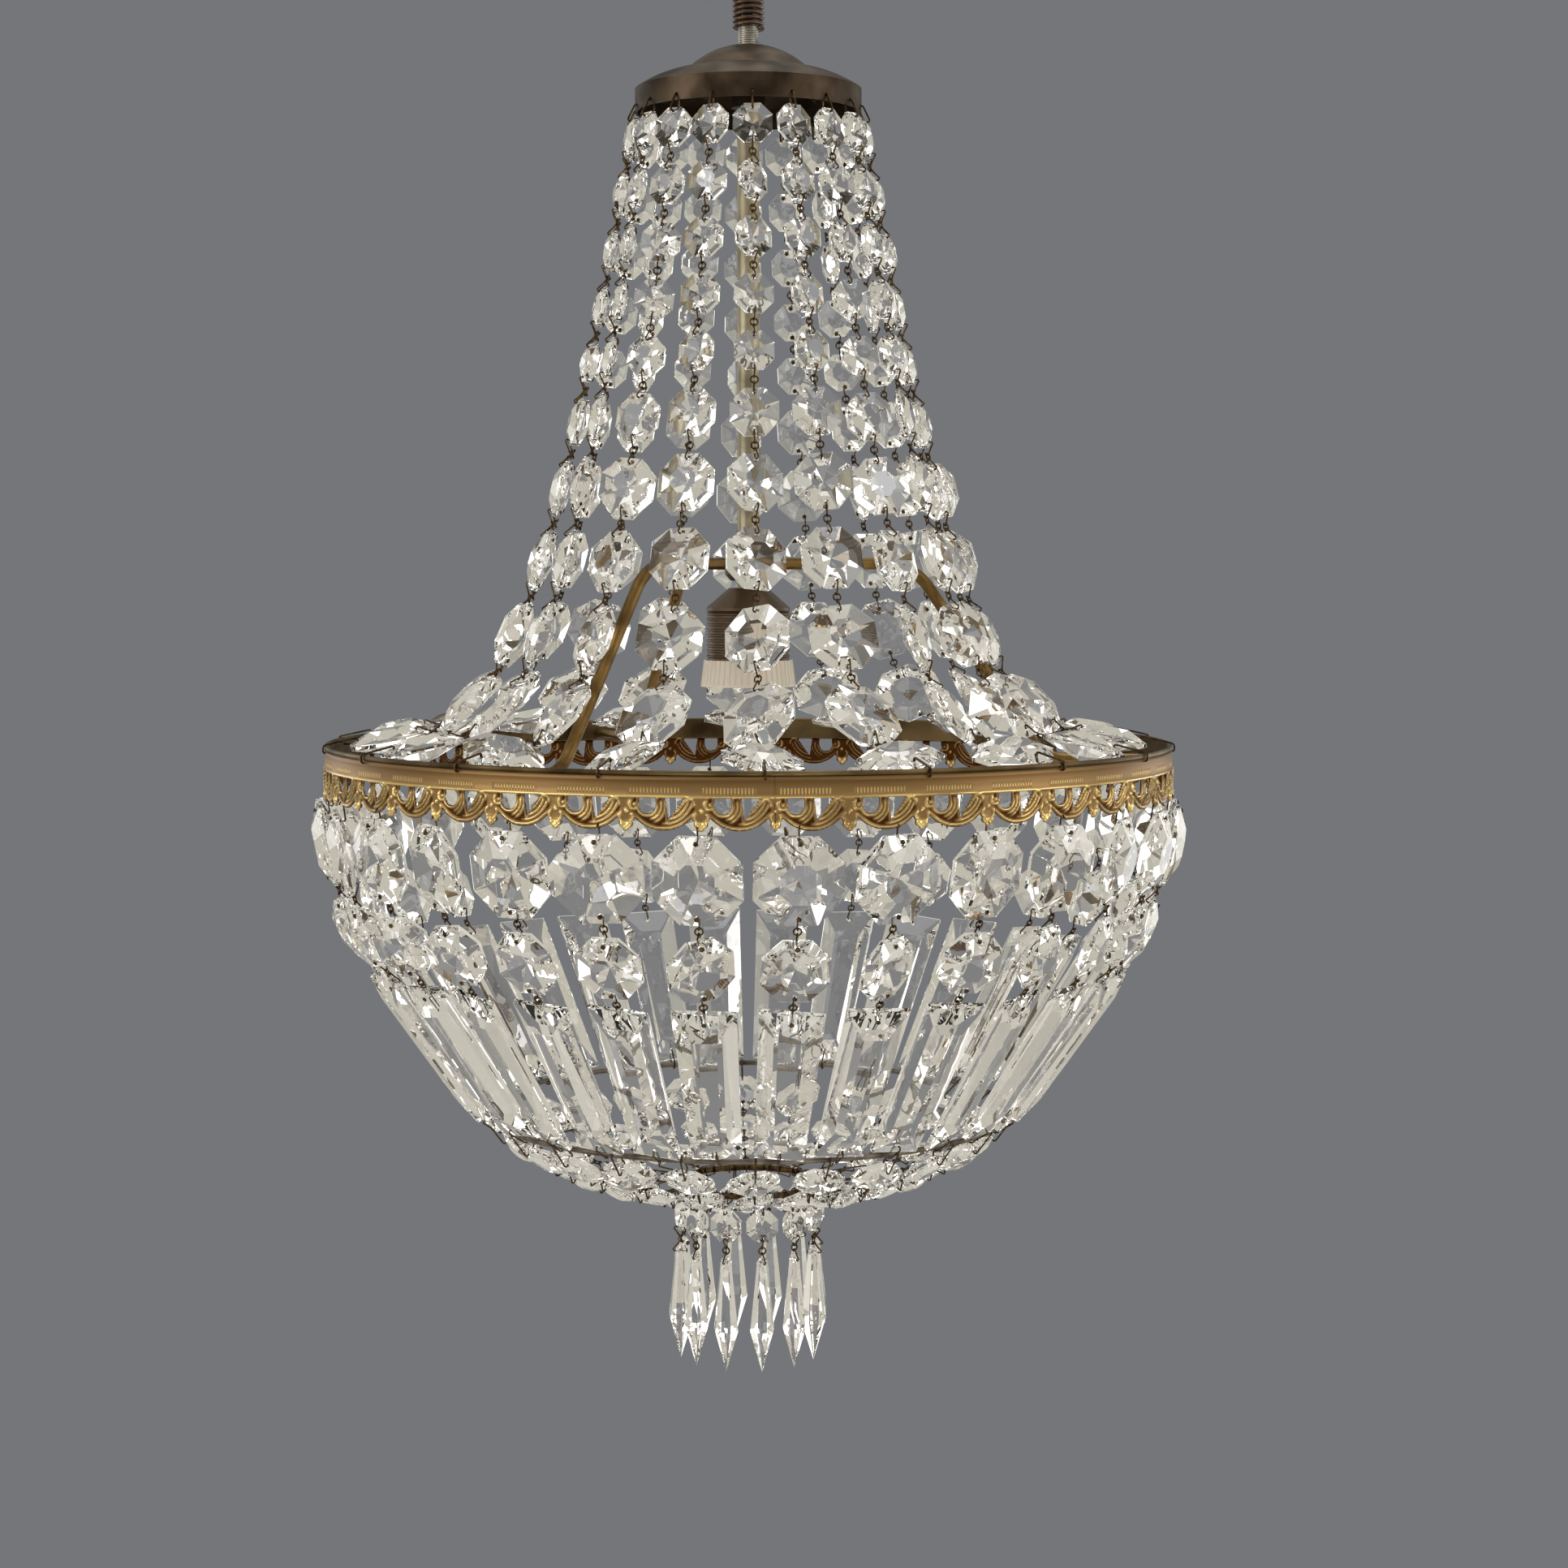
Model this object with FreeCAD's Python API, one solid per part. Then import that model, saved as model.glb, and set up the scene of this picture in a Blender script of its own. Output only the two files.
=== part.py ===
# Crystal basket chandelier: octagon strands fall from a spun cap to a gilt band, and a
# basket of octagons and bevelled plaques hangs under it, closed by a dish and a ring of
# spear drops. Millimetres, +Z up, origin at the top end of the threaded nipple, -Y to
# the front. A strand is set out in the plane of radius and height, then turned about Z.
import FreeCAD, Part
import math
import os

Vector = FreeCAD.Vector
Z_AXIS = Vector(0, 0, 1)
os.makedirs("parts", exist_ok=True)

# Suspension
nipple_radius = 5.0
nipple_bore = 3.6
nipple_length = 72.0
nipple_mount = 12.0
nipple_groove = 1.0
nipple_groove_depth = 0.6
stem_radius = 5.2
stem_wall = 1.0
stem_end = -313.0
coil_wire = 2.0
coil_gap = 0.46
coil_turns = 11.5
coil_bottom = -43.4
coil_clearance = 0.5

# Cap
cap_top = -49.6
cap_dome_radius = 29.0
cap_dome_rise = 11.9
cap_rim_radius = 53.0
cap_flange_drop = 9.0
cap_flange_swell = 1.6
cap_bottom = -81.3
cap_wall = 1.2
cap_hook_height = 2.5
washer_radius = 10.0
washer_thickness = 1.6
nut_radius = 8.5
nut_height = 6.0
coupler_radius = 8.0
coupler_overlap = 7.0

# Strands of the tent
tent_strands = 18
tent_turn = 2.0
tent_sizes = [18.0, 18.0, 18.0, 18.0, 18.0, 22.0, 26.0, 28.0, 30.0, 34.0]
upper_rows = 3
middle_rows = 4
cap_hook_length = 8.5
ledge_size = 35.0
ledge_tilt = 10.0
ledge_reach = 14.0
ledge_rise = -0.4
ledge_room = 2.4
strand_end_load = 0.2

# Octagons, wire and holes
girdle = 1.8
table_share = 0.45
front_rise = 0.14
back_rise = 0.16
hole_radius = 0.9
hole_inset_base = 0.5
hole_inset_share = 0.1
drill_length = 6.0
half_wire = 0.4
bend_radius = 1.0
bend_out = 0.3
wire_slack = 0.25
eye_radius = 1.7
eye_overlap = 0.55
tip_radius = 1.2

# Band
band_radius = 200.0
band_top = -375.5
hoop_wall = 1.2
hoop_height = 10.5
lip_radius = 1.1
lip_arcs = 6
strip_wall = 0.8
strip_gap = 0.2
strip_bottom = -400.5
scroll_top = -386.0
motifs = 40
motif_turn = 3.0
notch_radius = 2.0
notch_spread = 4.2
window_turn = 2.6
window_radius = 3.6
fan_turn = 5.9
fan_width = 8.6
fan_height = 10.0
fan_lean = 2.8
edge_hole_depth = 3.2
scroll_hole_height = 2.4

# Basket
basket_strands = 30
basket_turn = 6.0
basket_hook_drop = 8.3
basket_hook_out = 2.2
basket_hook_room = 1.8
large_size = 38.0
large_tilt = 11.0
second_size = 29.0
second_tilt = 23.0
basket_gap = 7.0
plaque_length = 87.0
plaque_top_width = 28.0
plaque_bottom_width = 22.0
plaque_tilt = 36.0
plaque_edge = 2.2
plaque_rise = 4.2
plaque_bevel = 8.5
plaque_end_bevel = 13.0
plaque_hole_inset = 5.0
ring_wire = 1.3
ring_hook = 3.6

# Dish
dish_strands = 24
dish_turn = 1.5
dish_start_tilt = 45.0
dish_hook = 9.0
dish_sizes = [22.0, 18.0, 14.0]
dish_last_size = 14.0
bottom_ring_radius = 33.0
bottom_ring_drop = 36.0
bottom_ring_wire = 1.5
bottom_ring_hook = 5.5

# Tassels
tassels = 12
tassel_turn = 11.5
tassel_size = 15.0
tassel_hook = 8.8
tassel_link = 12.6
spear_length = 55.0
spear_width = 12.4
spear_crown_width = 2.4
spear_crown = 1.8
spear_top_width = 5.4
spear_neck_width = 6.6
spear_neck = 8.0
spear_belly = 35.0
spear_sides = 6
spear_hole_inset = 3.2

# Arms and hub
arms = 3
arm_turn = 84.0
arm_radius = 2.8
arm_level = -291.5
hub_radius = 11.0
hub_height = 16.0
hub_clearance = 0.1
hub_bevel = 2.5
hub_bevel_height = 3.0
arm_socket = 4.0
arm_foot_gap = 0.2
arm_knee = 78.0
arm_knee_bend = 26.0
arm_ankle = 140.0
arm_ankle_bend = 20.0

# Lampholder
holder_top = -303.0
holder_shoulder = -314.0
holder_radius = 19.8
holder_bottom = -349.5
holder_wall = 2.0
holder_thread_depth = 0.6
holder_thread_pitch = 2.5
holder_root_share = 0.4
holder_slope_share = 0.2
holder_cap_edge = 1.5
holder_cap_step = 3.2
shade_ring_radius = 22.7
shade_ring_height = 12.5
shade_ring_draft = 1.6
shade_ring_flutes = 48
flute_radius = 0.6
flute_rise = 1.2
core_top = -316.0
core_radius = 17.4
core_height = 12.0
shell_radius = 13.3
shell_wall = 0.4
shell_length = 23.0
contact_radius = 5.0
contact_height = 3.0
pin_hole = 1.6
contact_hole = 0.8
running_gap = 0.3


def save(name, shapes):
    """Writes one node, from a solid or a list of separate solids."""
    shape = Part.makeCompound(shapes) if isinstance(shapes, list) else shapes
    shape.exportStep("parts/" + name + ".step")


def around(shape, count, first):
    """Copies of a shape at equal turns about the axis, the first one turned by an angle."""
    copies = []
    for i in range(count):
        copy = shape.copy()
        copy.rotate(Vector(0, 0, 0), Z_AXIS, first + 360.0 * i / count)
        copies.append(copy)
    return copies


def plane_point(p):
    """A point given as radius and height, on the front half plane."""
    return Vector(0, -p[0], p[1])


def add(p, q, scale=1.0):
    """p plus a multiple of q, both as radius and height."""
    return (p[0] + q[0] * scale, p[1] + q[1] * scale)


def unit(p):
    """The direction of p, as radius and height."""
    length = math.hypot(p[0], p[1])
    return (p[0] / length, p[1] / length)


def down_along(tilt):
    """The way down a hanging piece that leans inwards by a tilt in degrees."""
    angle = math.radians(tilt)
    return (-math.sin(angle), -math.cos(angle))


def outward_of(down):
    """The outward normal of a piece whose way down is given."""
    return (-down[1], down[0])


def revolved(points):
    """The solid of an outline of radius and height, turned about the axis."""
    outline = [plane_point(p) for p in points]
    face = Part.Face(Part.makePolygon(outline + [outline[0]]))
    return face.revolve(Vector(0, 0, 0), Z_AXIS, 360)


def tube(outer, inner, low, high):
    """A round tube on the axis."""
    return revolved([(inner, low), (outer, low), (outer, high), (inner, high)])


def torus_ring(radius, wire, height):
    """A closed ring of round wire about the axis."""
    return Part.makeTorus(radius, wire, Vector(0, 0, height), Z_AXIS)


def drilled(radius, place, turns):
    """Radial drills at some turns about the axis, through a wall at a radius and height."""
    reach, height = place
    start = Vector(0, -reach - drill_length / 2, height)
    drill = Part.makeCylinder(radius, drill_length, start, Vector(0, 1, 0))
    return around(drill, *turns)


def belt(circles):
    """The closed path round some circles of the front plane, given as centre and radius."""
    middle = unit_mean([c for c, _ in circles])
    order = sorted(circles, key=lambda c: math.atan2(c[0][1] - middle[1], c[0][0] - middle[0]))
    normals = []
    for i, (a, radius_a) in enumerate(order):
        b, radius_b = order[(i + 1) % len(order)]
        way = unit(add(b, a, -1))
        lean = (radius_a - radius_b) / math.hypot(b[0] - a[0], b[1] - a[1])
        level = math.sqrt(1 - lean * lean)
        normals.append((way[1] * level + way[0] * lean, -way[0] * level + way[1] * lean))
    edges = []
    for i, (a, radius_a) in enumerate(order):
        j = (i + 1) % len(order)
        b, radius_b = order[j]
        leave = add(a, normals[i], radius_a)
        reach = add(b, normals[i], radius_b)
        turn = add(b, normals[j], radius_b)
        crown = add(b, unit(add(normals[i], normals[j])), radius_b)
        edges.append(Part.LineSegment(plane_point(leave), plane_point(reach)).toShape())
        edges.append(Part.Arc(plane_point(reach), plane_point(crown), plane_point(turn)).toShape())
    return Part.Wire(edges)


def unit_mean(points):
    """The mean of some points."""
    count = len(points)
    return (sum(p[0] for p in points) / count, sum(p[1] for p in points) / count)


def wire_loop(circles):
    """A closed link of square wire, bent round some circles of the front plane."""
    shapes = []
    for offset in (half_wire, -half_wire):
        path = belt([(centre, radius + offset) for centre, radius in circles])
        shapes.append(Part.Face(path).extrude(Vector(2 * half_wire, 0, 0)))
    loop = shapes[0].cut(shapes[1])
    loop.translate(Vector(-half_wire, 0, 0))
    return loop


def wire_eye(centre, normal):
    """A small closed ring of square wire, given its middle and its axis."""
    start = centre - normal * half_wire
    outer = Part.makeCylinder(eye_radius + half_wire, 2 * half_wire, start, normal)
    inner = Part.makeCylinder(eye_radius - half_wire, 2 * half_wire, start, normal)
    return outer.cut(inner)


def hole_inset(size):
    """How far a hole's centre lies inside the edge of an octagon."""
    return hole_inset_base + hole_inset_share * size


def octagon_depth(size):
    """How far an octagon reaches at its hole, to the front and to the back."""
    inset = hole_inset(size)
    front = girdle / 2 + front_rise * size * inset / (size / 2 * (1 - table_share))
    back = girdle / 2 + back_rise * size * inset / (size / 2)
    return front, back


def ring_of(sides, half_width, depth, start=0.5):
    """Corners of a regular polygon of a given half width across flats, at a depth."""
    reach = half_width / math.cos(math.pi / sides)
    turns = [2 * math.pi * (i + start) / sides for i in range(sides)]
    return [Vector(reach * math.sin(t), depth, reach * math.cos(t)) for t in turns]


def closed_solid(faces):
    """The solid inside some flat faces, each a list of corners."""
    shells = [Part.Face(Part.makePolygon(f + [f[0]])) for f in faces]
    return Part.makeSolid(Part.makeShell(shells))


def octagon(size, top_hole=True, bottom_hole=True):
    """A cut octagon with a table in front, a point behind and a hole at two ends."""
    half = size / 2
    front = ring_of(8, half, -girdle / 2)
    back = ring_of(8, half, girdle / 2)
    table = ring_of(8, half * table_share, -girdle / 2 - front_rise * size)
    apex = Vector(0, girdle / 2 + back_rise * size, 0)
    faces = [table]
    for i in range(8):
        j = (i + 1) % 8
        faces.append([table[i], table[j], front[j], front[i]])
        faces.append([front[i], front[j], back[j], back[i]])
        faces.append([back[i], back[j], apex])
    solid = closed_solid(faces)
    for wanted, side in ((top_hole, 1), (bottom_hole, -1)):
        if wanted:
            start = Vector(0, -size, side * (half - hole_inset(size)))
            solid = solid.cut(Part.makeCylinder(hole_radius, 2 * size, start, Vector(0, 1, 0)))
    return solid


def hung(shape, centre, down):
    """A piece made upright at the origin, moved to its place in the front plane."""
    lean = math.degrees(math.atan2(-down[0], -down[1]))
    copy = shape.copy()
    copy.rotate(Vector(0, 0, 0), Vector(1, 0, 0), lean)
    copy.translate(plane_point(centre))
    return copy


def bar(hole, axis, pull, front, back):
    """The two bends of a wire that runs through a hole and is pulled to one side."""
    seat = add(hole, pull, wire_slack + bend_radius)
    outer = add(seat, axis, front + bend_out)
    inner = add(seat, axis, -back - bend_out)
    return [(outer, bend_radius), (inner, bend_radius)]


def linked(upper, lower, shift=0.0):
    """Two wire loops and the eye between them, from two holes given as arguments of bar."""
    way = unit(add(lower[0], upper[0], -1))
    eye = add(unit_mean([upper[0], lower[0]]), way, shift)
    tip = eye_overlap + tip_radius
    first = wire_loop(bar(*upper) + [(add(eye, way, -tip), tip_radius)])
    second = wire_loop(bar(*lower) + [(add(eye, way, tip), tip_radius)])
    normal = plane_point((way[1], -way[0]))
    return [first, wire_eye(plane_point(eye), normal), second]


class Hanging:
    """One octagon or plaque of a strand: its holes, its way down and its middle."""

    def __init__(self, top, down, span, depth):
        self.top = top
        self.down = down
        self.bottom = add(top, down, span)
        self.middle = add(top, down, span / 2)
        self.axis = outward_of(down)
        self.front, self.back = depth

    def top_bar(self):
        """The wire bar in the top hole, pulled up."""
        up = (-self.down[0], -self.down[1])
        return (self.top, self.axis, up, self.front, self.back)

    def bottom_bar(self, room=0.0):
        """The wire bar in the bottom hole, pulled down, with some room behind."""
        return (self.bottom, self.axis, self.down, self.front, self.back + room)


def octagon_span(size):
    """The distance between the two holes of an octagon."""
    return size - 2 * hole_inset(size)


def hanging_octagon(top, down, size):
    """An octagon's place in a strand."""
    return Hanging(top, down, octagon_span(size), octagon_depth(size))


# Suspension: a threaded nipple, a coil of wire round it, and the long tube below

def suspension():
    groove_top = -nipple_mount
    groove_radius = nipple_radius - nipple_groove_depth
    nipple = tube(nipple_radius, nipple_bore, -nipple_length, 0)
    groove = tube(nipple_radius + nipple_groove, groove_radius, groove_top - nipple_groove, groove_top)
    save("threaded_nipple", nipple.cut(groove))
    tube_top = -nipple_length - running_gap
    save("stem_tube", tube(stem_radius, stem_radius - stem_wall, stem_end, tube_top))


def biarc(start, start_way, end, end_way):
    """Two tangent arcs from a point and direction to another."""
    span = end - start
    both = start_way + end_way
    spare = 2 * (1 - start_way.dot(end_way))
    side = span.dot(both)
    reach = (math.sqrt(side * side + spare * span.dot(span)) - side) / spare
    joint = (start + start_way * reach + end - end_way * reach) * 0.5
    return [tangent_arc(start, start_way, joint), tangent_arc(end, end_way * -1, joint)]


def tangent_arc(start, way, end):
    """The arc that leaves a point in a direction and reaches another point."""
    chord = end - start
    along = Vector(chord)
    along.normalize()
    side = way - along * way.dot(along)
    side.normalize()
    height = chord.Length / 2 * math.tan(math.acos(way.dot(along)) / 2)
    crown = (start + end) * 0.5 + side * height
    return Part.Arc(start, crown, end).toShape()


def coil():
    """A wire wound tightly round the nipple, as one unbroken tube."""
    mean = nipple_radius + coil_clearance + coil_wire / 2
    pitch = coil_wire + coil_gap
    climb = pitch / (2 * math.pi)

    def point(turn):
        angle = 2 * math.pi * turn
        height = coil_bottom + coil_wire / 2 + pitch * turn
        return Vector(mean * math.cos(angle), mean * math.sin(angle), height)

    def way(turn):
        angle = 2 * math.pi * turn
        direction = Vector(-mean * math.sin(angle), mean * math.cos(angle), climb)
        direction.normalize()
        return direction

    quarters = int(coil_turns * 4)
    edges = [Part.LineSegment(point(0) - way(0) * coil_wire, point(0)).toShape()]
    for i in range(quarters):
        edges += biarc(point(i / 4), way(i / 4), point((i + 1) / 4), way((i + 1) / 4))
    last = quarters / 4
    edges.append(Part.LineSegment(point(last), point(last) + way(last) * coil_wire).toShape())
    path = Part.Wire(Part.__sortEdges__(edges))
    start = point(0) - way(0) * coil_wire
    section = Part.Wire(Part.Circle(start, way(0), coil_wire / 2).toShape())
    save("wire_coil", path.makePipeShell([section], True, False))
    least = min(
        (point(i / 48) - point(i / 48 + k / 48)).Length
        for i in range(48)
        for k in range(36, 60)
    )
    print("least gap of the coil to itself", round(least - coil_wire, 2))


# Cap: a thin spun dome on a flange, with a row of hook holes in its rim

def dome_height(radius, inset):
    """The height of the dome at a radius, on a sphere that an inset makes smaller."""
    sphere = (cap_dome_radius ** 2 + cap_dome_rise ** 2) / (2 * cap_dome_rise)
    return cap_top - sphere + math.sqrt((sphere - inset) ** 2 - radius ** 2)


def cap_solid(inset, low):
    """The cap filled down to a height, with its outline moved inwards by an inset."""
    crown_radius = nipple_radius + running_gap
    swell_radius = (crown_radius + cap_dome_radius) / 2
    crown = (crown_radius, dome_height(crown_radius, inset))
    swell = (swell_radius, dome_height(swell_radius, inset))
    shoulder = (cap_dome_radius, dome_height(cap_dome_radius, inset))
    corner = (cap_rim_radius - inset, shoulder[1] - cap_flange_drop + inset / 2)
    flare = add(unit_mean([shoulder, corner]), (0, cap_flange_swell))
    edges = [
        Part.Arc(plane_point(crown), plane_point(swell), plane_point(shoulder)).toShape(),
        Part.Arc(plane_point(shoulder), plane_point(flare), plane_point(corner)).toShape(),
    ]
    ends = [corner, (corner[0], low), (crown[0], low), crown]
    for a, b in zip(ends, ends[1:]):
        edges.append(Part.LineSegment(plane_point(a), plane_point(b)).toShape())
    return Part.Face(Part.Wire(edges)).revolve(Vector(0, 0, 0), Z_AXIS, 360)


def cap():
    shell = cap_solid(0, cap_bottom).cut(cap_solid(cap_wall, cap_bottom - cap_wall))
    rim = (cap_rim_radius, cap_bottom + cap_hook_height)
    save("top_cap", shell.cut(drilled(hole_radius, rim, (tent_strands, tent_turn))))

    bore = nipple_radius + hub_clearance
    washer_top = dome_height(washer_radius, cap_wall) - hub_clearance
    nut_top = washer_top - washer_thickness
    nut_bottom = nut_top - nut_height
    save("cap_washer", tube(washer_radius, bore, nut_top, washer_top))
    corners = ring_of(6, nut_radius, 0)
    base = [Vector(corner.x, corner.z, nut_bottom) for corner in corners]
    block = Part.Face(Part.makePolygon(base + [base[0]])).extrude(Vector(0, 0, nut_height))
    hole = Part.makeCylinder(bore, 2 * nut_height, Vector(0, 0, nut_bottom - nut_height / 2))
    save("cap_nut", block.cut(hole))

    joint = -nipple_length
    coupler_bore = stem_radius + hub_clearance
    coupler = tube(coupler_radius, coupler_bore, joint - coupler_overlap, joint + coupler_overlap)
    save("stem_coupler", coupler)


# Tent: the strands hang from the cap like heavy chains and end on the band

def walk(start, pull, gap):
    """The tent octagons of a strand that is pulled sideways with a given force."""
    weights = [(size / tent_sizes[-1]) ** 3 for size in tent_sizes]
    load = strand_end_load + sum(weights)
    hole = add(start, unit((pull, -load)), cap_hook_length)
    placed = []
    for i, size in enumerate(tent_sizes):
        down = unit((pull, -(load - weights[i] / 2)))
        placed.append(hanging_octagon(hole, down, size))
        load -= weights[i]
        after = tent_sizes[i + 1] if i + 1 < len(tent_sizes) else ledge_size
        length = gap + hole_inset(size) + hole_inset(after)
        hole = add(placed[-1].bottom, unit((pull, -load)), length)
    return placed, hole


def solve(error, low, high):
    """The value between two bounds at which a rising error crosses zero."""
    for _ in range(60):
        middle = (low + high) / 2
        if error(middle) > 0:
            high = middle
        else:
            low = middle
    return (low + high) / 2


def tent():
    hook = (cap_rim_radius - cap_wall / 2, cap_bottom + cap_hook_height)
    ledge_down = down_along(ledge_tilt - 90)
    outer_hole = (band_radius - strip_wall - hoop_wall - ledge_reach, band_top + ledge_rise)
    span = octagon_span(ledge_size)
    inner_hole = add(outer_hole, ledge_down, -span)
    ledge = hanging_octagon(inner_hole, ledge_down, ledge_size)

    def pull_for(gap):
        return solve(lambda pull: walk(hook, pull, gap)[1][0] - inner_hole[0], 0.01, 30)

    gap = solve(lambda g: inner_hole[1] - walk(hook, pull_for(g), g)[1][1], 2, 40)
    strand, _ = walk(hook, pull_for(gap), gap)
    print("gap between tent octagons", round(gap, 2))
    for i, piece in enumerate(strand):
        print("row", i + 1, [round(v, 1) for v in piece.middle])

    rows = []
    for piece, size in zip(strand, tent_sizes):
        rows.append(around(hung(octagon(size), piece.middle, piece.down), tent_strands, tent_turn))
    first = 0
    for name, count in (("upper", upper_rows), ("middle", middle_rows), ("lower", len(rows))):
        save("tent_" + name + "_octagons", sum(rows[first:first + count], []))
        first += count
    seated = hung(octagon(ledge_size), ledge.middle, ledge.down)
    save("tent_ledge_octagons", around(seated, tent_strands, tent_turn))

    rim_hole = (hook, (1, 0), (0, -1), cap_wall / 2, cap_wall / 2)
    hooks = [wire_loop(bar(*rim_hole) + bar(*strand[0].top_bar()))]
    lip = band_sections()[0]
    over = lip_radius + half_wire + wire_slack
    low = band_top - edge_hole_depth + bend_radius
    catch = [(lip, over), ((lip[0] + over - bend_radius, low), bend_radius)]
    hooks.append(wire_loop(bar(*ledge.bottom_bar()) + catch))
    tent_hooks = []
    for shape in hooks:
        tent_hooks += around(shape, tent_strands, tent_turn)
    save("tent_hooks", tent_hooks)

    tent_links = []
    pairs = [linked(a.bottom_bar(), b.top_bar()) for a, b in zip(strand, strand[1:])]
    pairs.append(linked(strand[-1].bottom_bar(ledge_room), ledge.top_bar()))
    for shapes in pairs:
        for shape in shapes:
            tent_links += around(shape, tent_strands, tent_turn)
    save("tent_links", tent_links)


# Band: a flat hoop with a rolled lip, and a stamped openwork strip on its outside

def band_sections():
    """The middle of the lip's section, and the hoop's inner radius."""
    outer = band_radius - strip_wall - strip_gap
    return (outer, band_top - lip_radius), outer - hoop_wall


def band():
    lip, inner = band_sections()

    def on_lip(degrees):
        angle = math.radians(degrees)
        return plane_point(add(lip, (math.cos(angle), math.sin(angle)), lip_radius))

    low = band_top - hoop_height
    corners = [on_lip(180), plane_point((inner, lip[1])), plane_point((inner, low)), plane_point((lip[0], low))]
    edges = [Part.LineSegment(a, b).toShape() for a, b in zip(corners, corners[1:] + [on_lip(-90)])]
    step = 270.0 / lip_arcs
    for i in range(lip_arcs):
        a = i * step - 90
        edges.append(Part.Arc(on_lip(a), on_lip(a + step / 2), on_lip(a + step)).toShape())
    hoop = Part.Face(Part.Wire(edges)).revolve(Vector(0, 0, 0), Z_AXIS, 360)
    edge_place = (band_radius, band_top - edge_hole_depth)
    edge_holes = drilled(hole_radius, edge_place, (tent_strands, tent_turn))
    save("band_hoop", hoop.cut(edge_holes))

    strip_top = band_top - 2 * lip_radius - strip_gap
    strip = tube(band_radius, band_radius - strip_wall, strip_bottom, strip_top)
    scroll_place = (band_radius, strip_bottom + scroll_hole_height)
    tools = edge_holes + drilled(hole_radius, scroll_place, (basket_strands, basket_turn))
    for shape, turn in openwork():
        tools += around(shape, motifs, motif_turn + turn)
    save("gallery_strip", strip.cut(tools))


def openwork():
    """The cutters of one scroll, with the turn of each from the bead between two scrolls."""
    depth = drill_length
    reach = band_radius + depth / 2
    inwards = Vector(0, 1, 0)
    notch = Part.makeCylinder(notch_radius, depth, Vector(0, -reach, strip_bottom), inwards)
    spread = math.degrees(notch_spread / band_radius)
    middle = scroll_top - window_radius
    arch = Part.makeCylinder(window_radius, depth, Vector(0, -reach, middle), inwards)
    head = Part.makeBox(2 * window_radius, depth, window_radius, Vector(-window_radius, -reach, middle))
    corners = [
        Vector(-fan_width / 2, -reach, scroll_top),
        Vector(fan_width / 2, -reach, scroll_top),
        Vector(-fan_lean, -reach, scroll_top - fan_height),
    ]
    fan = Part.Face(Part.makePolygon(corners + [corners[0]])).extrude(inwards * depth)
    return [(notch, -spread), (notch, spread), (arch.fuse(head), window_turn), (fan, fan_turn)]


# Basket: two rows of octagons and a row of long plaques, down to a plain wire ring

def plaque():
    """A long bevelled plaque with a hole near each end, wider at the top."""
    half = plaque_length / 2

    def outline(inset, end_inset, depth):
        top = plaque_top_width / 2 - inset
        bottom = plaque_bottom_width / 2 - inset
        return [
            Vector(-top, depth, half - end_inset),
            Vector(top, depth, half - end_inset),
            Vector(bottom, depth, end_inset - half),
            Vector(-bottom, depth, end_inset - half),
        ]

    back = outline(0, 0, plaque_edge / 2)
    edge = outline(0, 0, -plaque_edge / 2)
    table = outline(plaque_bevel, plaque_end_bevel, -plaque_edge / 2 - plaque_rise)
    faces = [back, table]
    for i in range(4):
        j = (i + 1) % 4
        faces.append([back[i], back[j], edge[j], edge[i]])
        faces.append([edge[i], edge[j], table[j]])
        faces.append([edge[i], table[j], table[i]])
    solid = closed_solid(faces)
    for side in (1, -1):
        start = Vector(0, -plaque_length, side * (half - plaque_hole_inset))
        drill = Part.makeCylinder(hole_radius, 2 * plaque_length, start, Vector(0, 1, 0))
        solid = solid.cut(drill)
    return solid


def basket():
    """Hangs the basket and returns the centre of the wire ring's section."""
    start = (band_radius - strip_wall / 2, strip_bottom + scroll_hole_height)
    first_hole = add(start, (basket_hook_out, -basket_hook_drop))
    large = hanging_octagon(first_hole, down_along(large_tilt), large_size)
    length = basket_gap + hole_inset(large_size) + hole_inset(second_size)
    hole = add(large.bottom, down_along((large_tilt + second_tilt) / 2), length)
    second = hanging_octagon(hole, down_along(second_tilt), second_size)
    length = basket_gap + hole_inset(second_size) + plaque_hole_inset
    hole = add(second.bottom, down_along((second_tilt + plaque_tilt) / 2), length)
    front = plaque_edge / 2 + plaque_rise * plaque_hole_inset / plaque_end_bevel
    span = plaque_length - 2 * plaque_hole_inset
    long_piece = Hanging(hole, down_along(plaque_tilt), span, (front, plaque_edge / 2))
    ring = add(long_piece.bottom, long_piece.down, plaque_hole_inset + ring_hook)

    for name, piece, shape in (
        ("basket_large_octagons", large, octagon(large_size)),
        ("basket_second_octagons", second, octagon(second_size)),
        ("basket_plaques", long_piece, plaque()),
    ):
        save(name, around(hung(shape, piece.middle, piece.down), basket_strands, basket_turn))

    strip_hole = (start, (1, 0), (0, -1), strip_wall / 2 + basket_hook_room, strip_wall / 2)
    shapes = [wire_loop(bar(*strip_hole) + bar(*large.top_bar()))]
    shapes += linked(large.bottom_bar(), second.top_bar())
    shift = (hole_inset(second_size) - plaque_hole_inset) / 2
    shapes += linked(second.bottom_bar(), long_piece.top_bar(), shift)
    grip = ring_wire + wire_slack + half_wire
    shapes.append(wire_loop(bar(*long_piece.bottom_bar()) + [(ring, grip)]))
    links = []
    for shape in shapes:
        links += around(shape, basket_strands, basket_turn)
    save("basket_links", links)
    save("lower_wire_ring", torus_ring(ring[0], ring_wire, ring[1]))
    print("wire ring", [round(v, 1) for v in ring])
    return ring


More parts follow.
